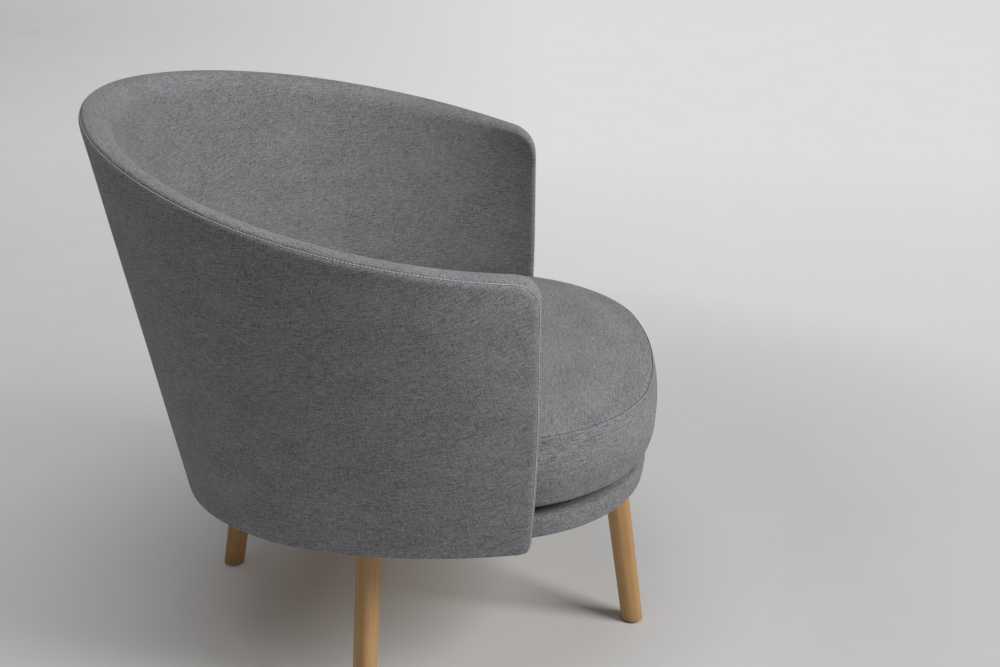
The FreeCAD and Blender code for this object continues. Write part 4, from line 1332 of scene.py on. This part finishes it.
@dataclass
class Frame:
    """The CAD pieces that stay: legs, plates, plywood and fastenings, each with its finish."""

    leg_turn: float = -12.1
    leg_top_reach: float = 0.2585
    leg_foot_reach: float = 0.299
    leg_top: float = 0.2495

    def leg_axis(self, index: int) -> tuple[float, float, float]:
        """Unit vector up along a leg."""
        angle = math.radians(self.leg_turn + 90 * index)
        lean = self.leg_foot_reach - self.leg_top_reach
        return tuple(Vector((math.sin(angle) * lean, -math.cos(angle) * lean, self.leg_top)).normalized())

    def build(self) -> None:
        """Gives every CAD node its finish."""
        zinc, steel = Metal("zinc_plate"), Metal("black_coat", (0.03, 0.03, 0.032), 0.0, 0.45)
        finishes: dict[str, Finish] = {
            "swivel_lower_plate": steel,
            "swivel_upper_plate": steel,
            "floor_glides": Plastic("glide_plastic", (0.045, 0.04, 0.036), 0.5),
            "slide_ring": Plastic("slide_plastic", (0.72, 0.72, 0.70), 0.4),
            "shell_spacers": Plastic("spacer_plastic", (0.035, 0.035, 0.035), 0.5),
            "zip_slider": Metal("zip_slider_metal", (0.06, 0.06, 0.065), 0.6, 0.4),
        }
        for name in ("leg_plate", "seat_board", "seat_ring", "shell_core"):
            finishes[name] = Plywood("birch_plywood")
        for index, name in enumerate(("rear", "right", "front", "left")):
            finishes["leg_" + name] = Oak(f"oak_{name}", self.leg_axis(index), 1.7 * index)
        for name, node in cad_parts.items():
            finish = finishes.get(name, zinc)
            node.data.materials.clear()
            node.data.materials.append(finish.material())
            LOG.info("%s: CAD node, %s", name, finish.name)


@dataclass
class Studio:
    """Floor, soft lights and camera."""

    camera_place: tuple[float, float, float] = (-1.748993, -0.164362, 1.099189)
    right: tuple[float, float, float] = (0.01297368, -0.9997296, 0.01929815)
    down: tuple[float, float, float] = (-0.36999934, -0.02272963, -0.92875393)
    ahead: tuple[float, float, float] = (0.92894143, 0.00490906, -0.37019417)
    lens: float = 50.4
    floor_half: float = 30.0
    aim: tuple[float, float, float] = (0, 0, 0.4)
    air: Colour = (0.15, 0.152, 0.158)
    backdrop: Colour = (0.70, 0.70, 0.70)

    def floor(self) -> None:
        """A wide floor with a finely divided middle."""
        steps = np.array([-1, -0.3, -0.08, -0.03, 0.0, 0.03, 0.08, 0.3, 1.0]) * self.floor_half
        level = crossed(steps, steps)
        draft = MeshDraft()
        draft.quads(draft.add(np.concatenate([level, np.zeros_like(level[..., :1])], -1), level))
        piece = draft.piece("studio_floor")
        piece.data.materials.append(StudioFloor("studio_floor").material())

    def lamp(self, name: str, place: Colour, size: float, power: float) -> None:
        """One large square soft light, aimed at the chair."""
        data = bpy.data.lights.new(name, "AREA")
        data.shape = "SQUARE"
        data.size = size
        data.energy = power
        made = linked(name, data)
        made.location = place
        made.rotation_mode = "QUATERNION"
        made.rotation_quaternion = (Vector(self.aim) - Vector(place)).to_track_quat("-Z", "Y")

    def sky(self) -> None:
        """Even soft light from all round, and a pale background for the camera."""
        world = bpy.data.worlds.new("studio_air")
        world.use_nodes = True
        bpy.context.scene.world = world
        graph = Graph(world.node_tree)
        tone = graph.blend(graph.seen_rays(), self.air, self.backdrop)
        background = graph.value("ShaderNodeBackground", {"Color": tone, "Strength": 1.0})
        graph.node("ShaderNodeOutputWorld", {"Surface": background})

    def camera(self) -> None:
        """The photograph's point of view."""
        data = bpy.data.cameras.new("studio_camera")
        data.lens = self.lens
        data.sensor_width = 36
        data.clip_start = 0.05
        data.clip_end = 100
        made = linked("studio_camera", data)
        turn = Matrix(np.stack([self.right, -np.array(self.down), -np.array(self.ahead)], axis=1).tolist())
        made.matrix_world = Matrix.Translation(self.camera_place) @ turn.to_4x4()
        bpy.context.scene.camera = made

    def build(self) -> None:
        """Builds the whole studio."""
        self.floor()
        self.sky()
        self.lamp("key_light", (-1.0, -2.6, 2.35), 1.4, 92)
        self.lamp("high_light", (-0.5, 0.1, 3.3), 1.8, 30)
        self.camera()
        bpy.context.scene.view_settings.view_transform = "Standard"


def main() -> None:
    """Builds and dresses the chair, then the studio."""
    logging.basicConfig(level=logging.INFO, format="%(name)s: %(message)s")
    for part in (ShellUpholstery(), SeatBase(), SeatCushion(), Frame(), Studio()):
        LOG.info("building %s", type(part).__name__)
        part.build()


if __name__ == "__main__":
    main()
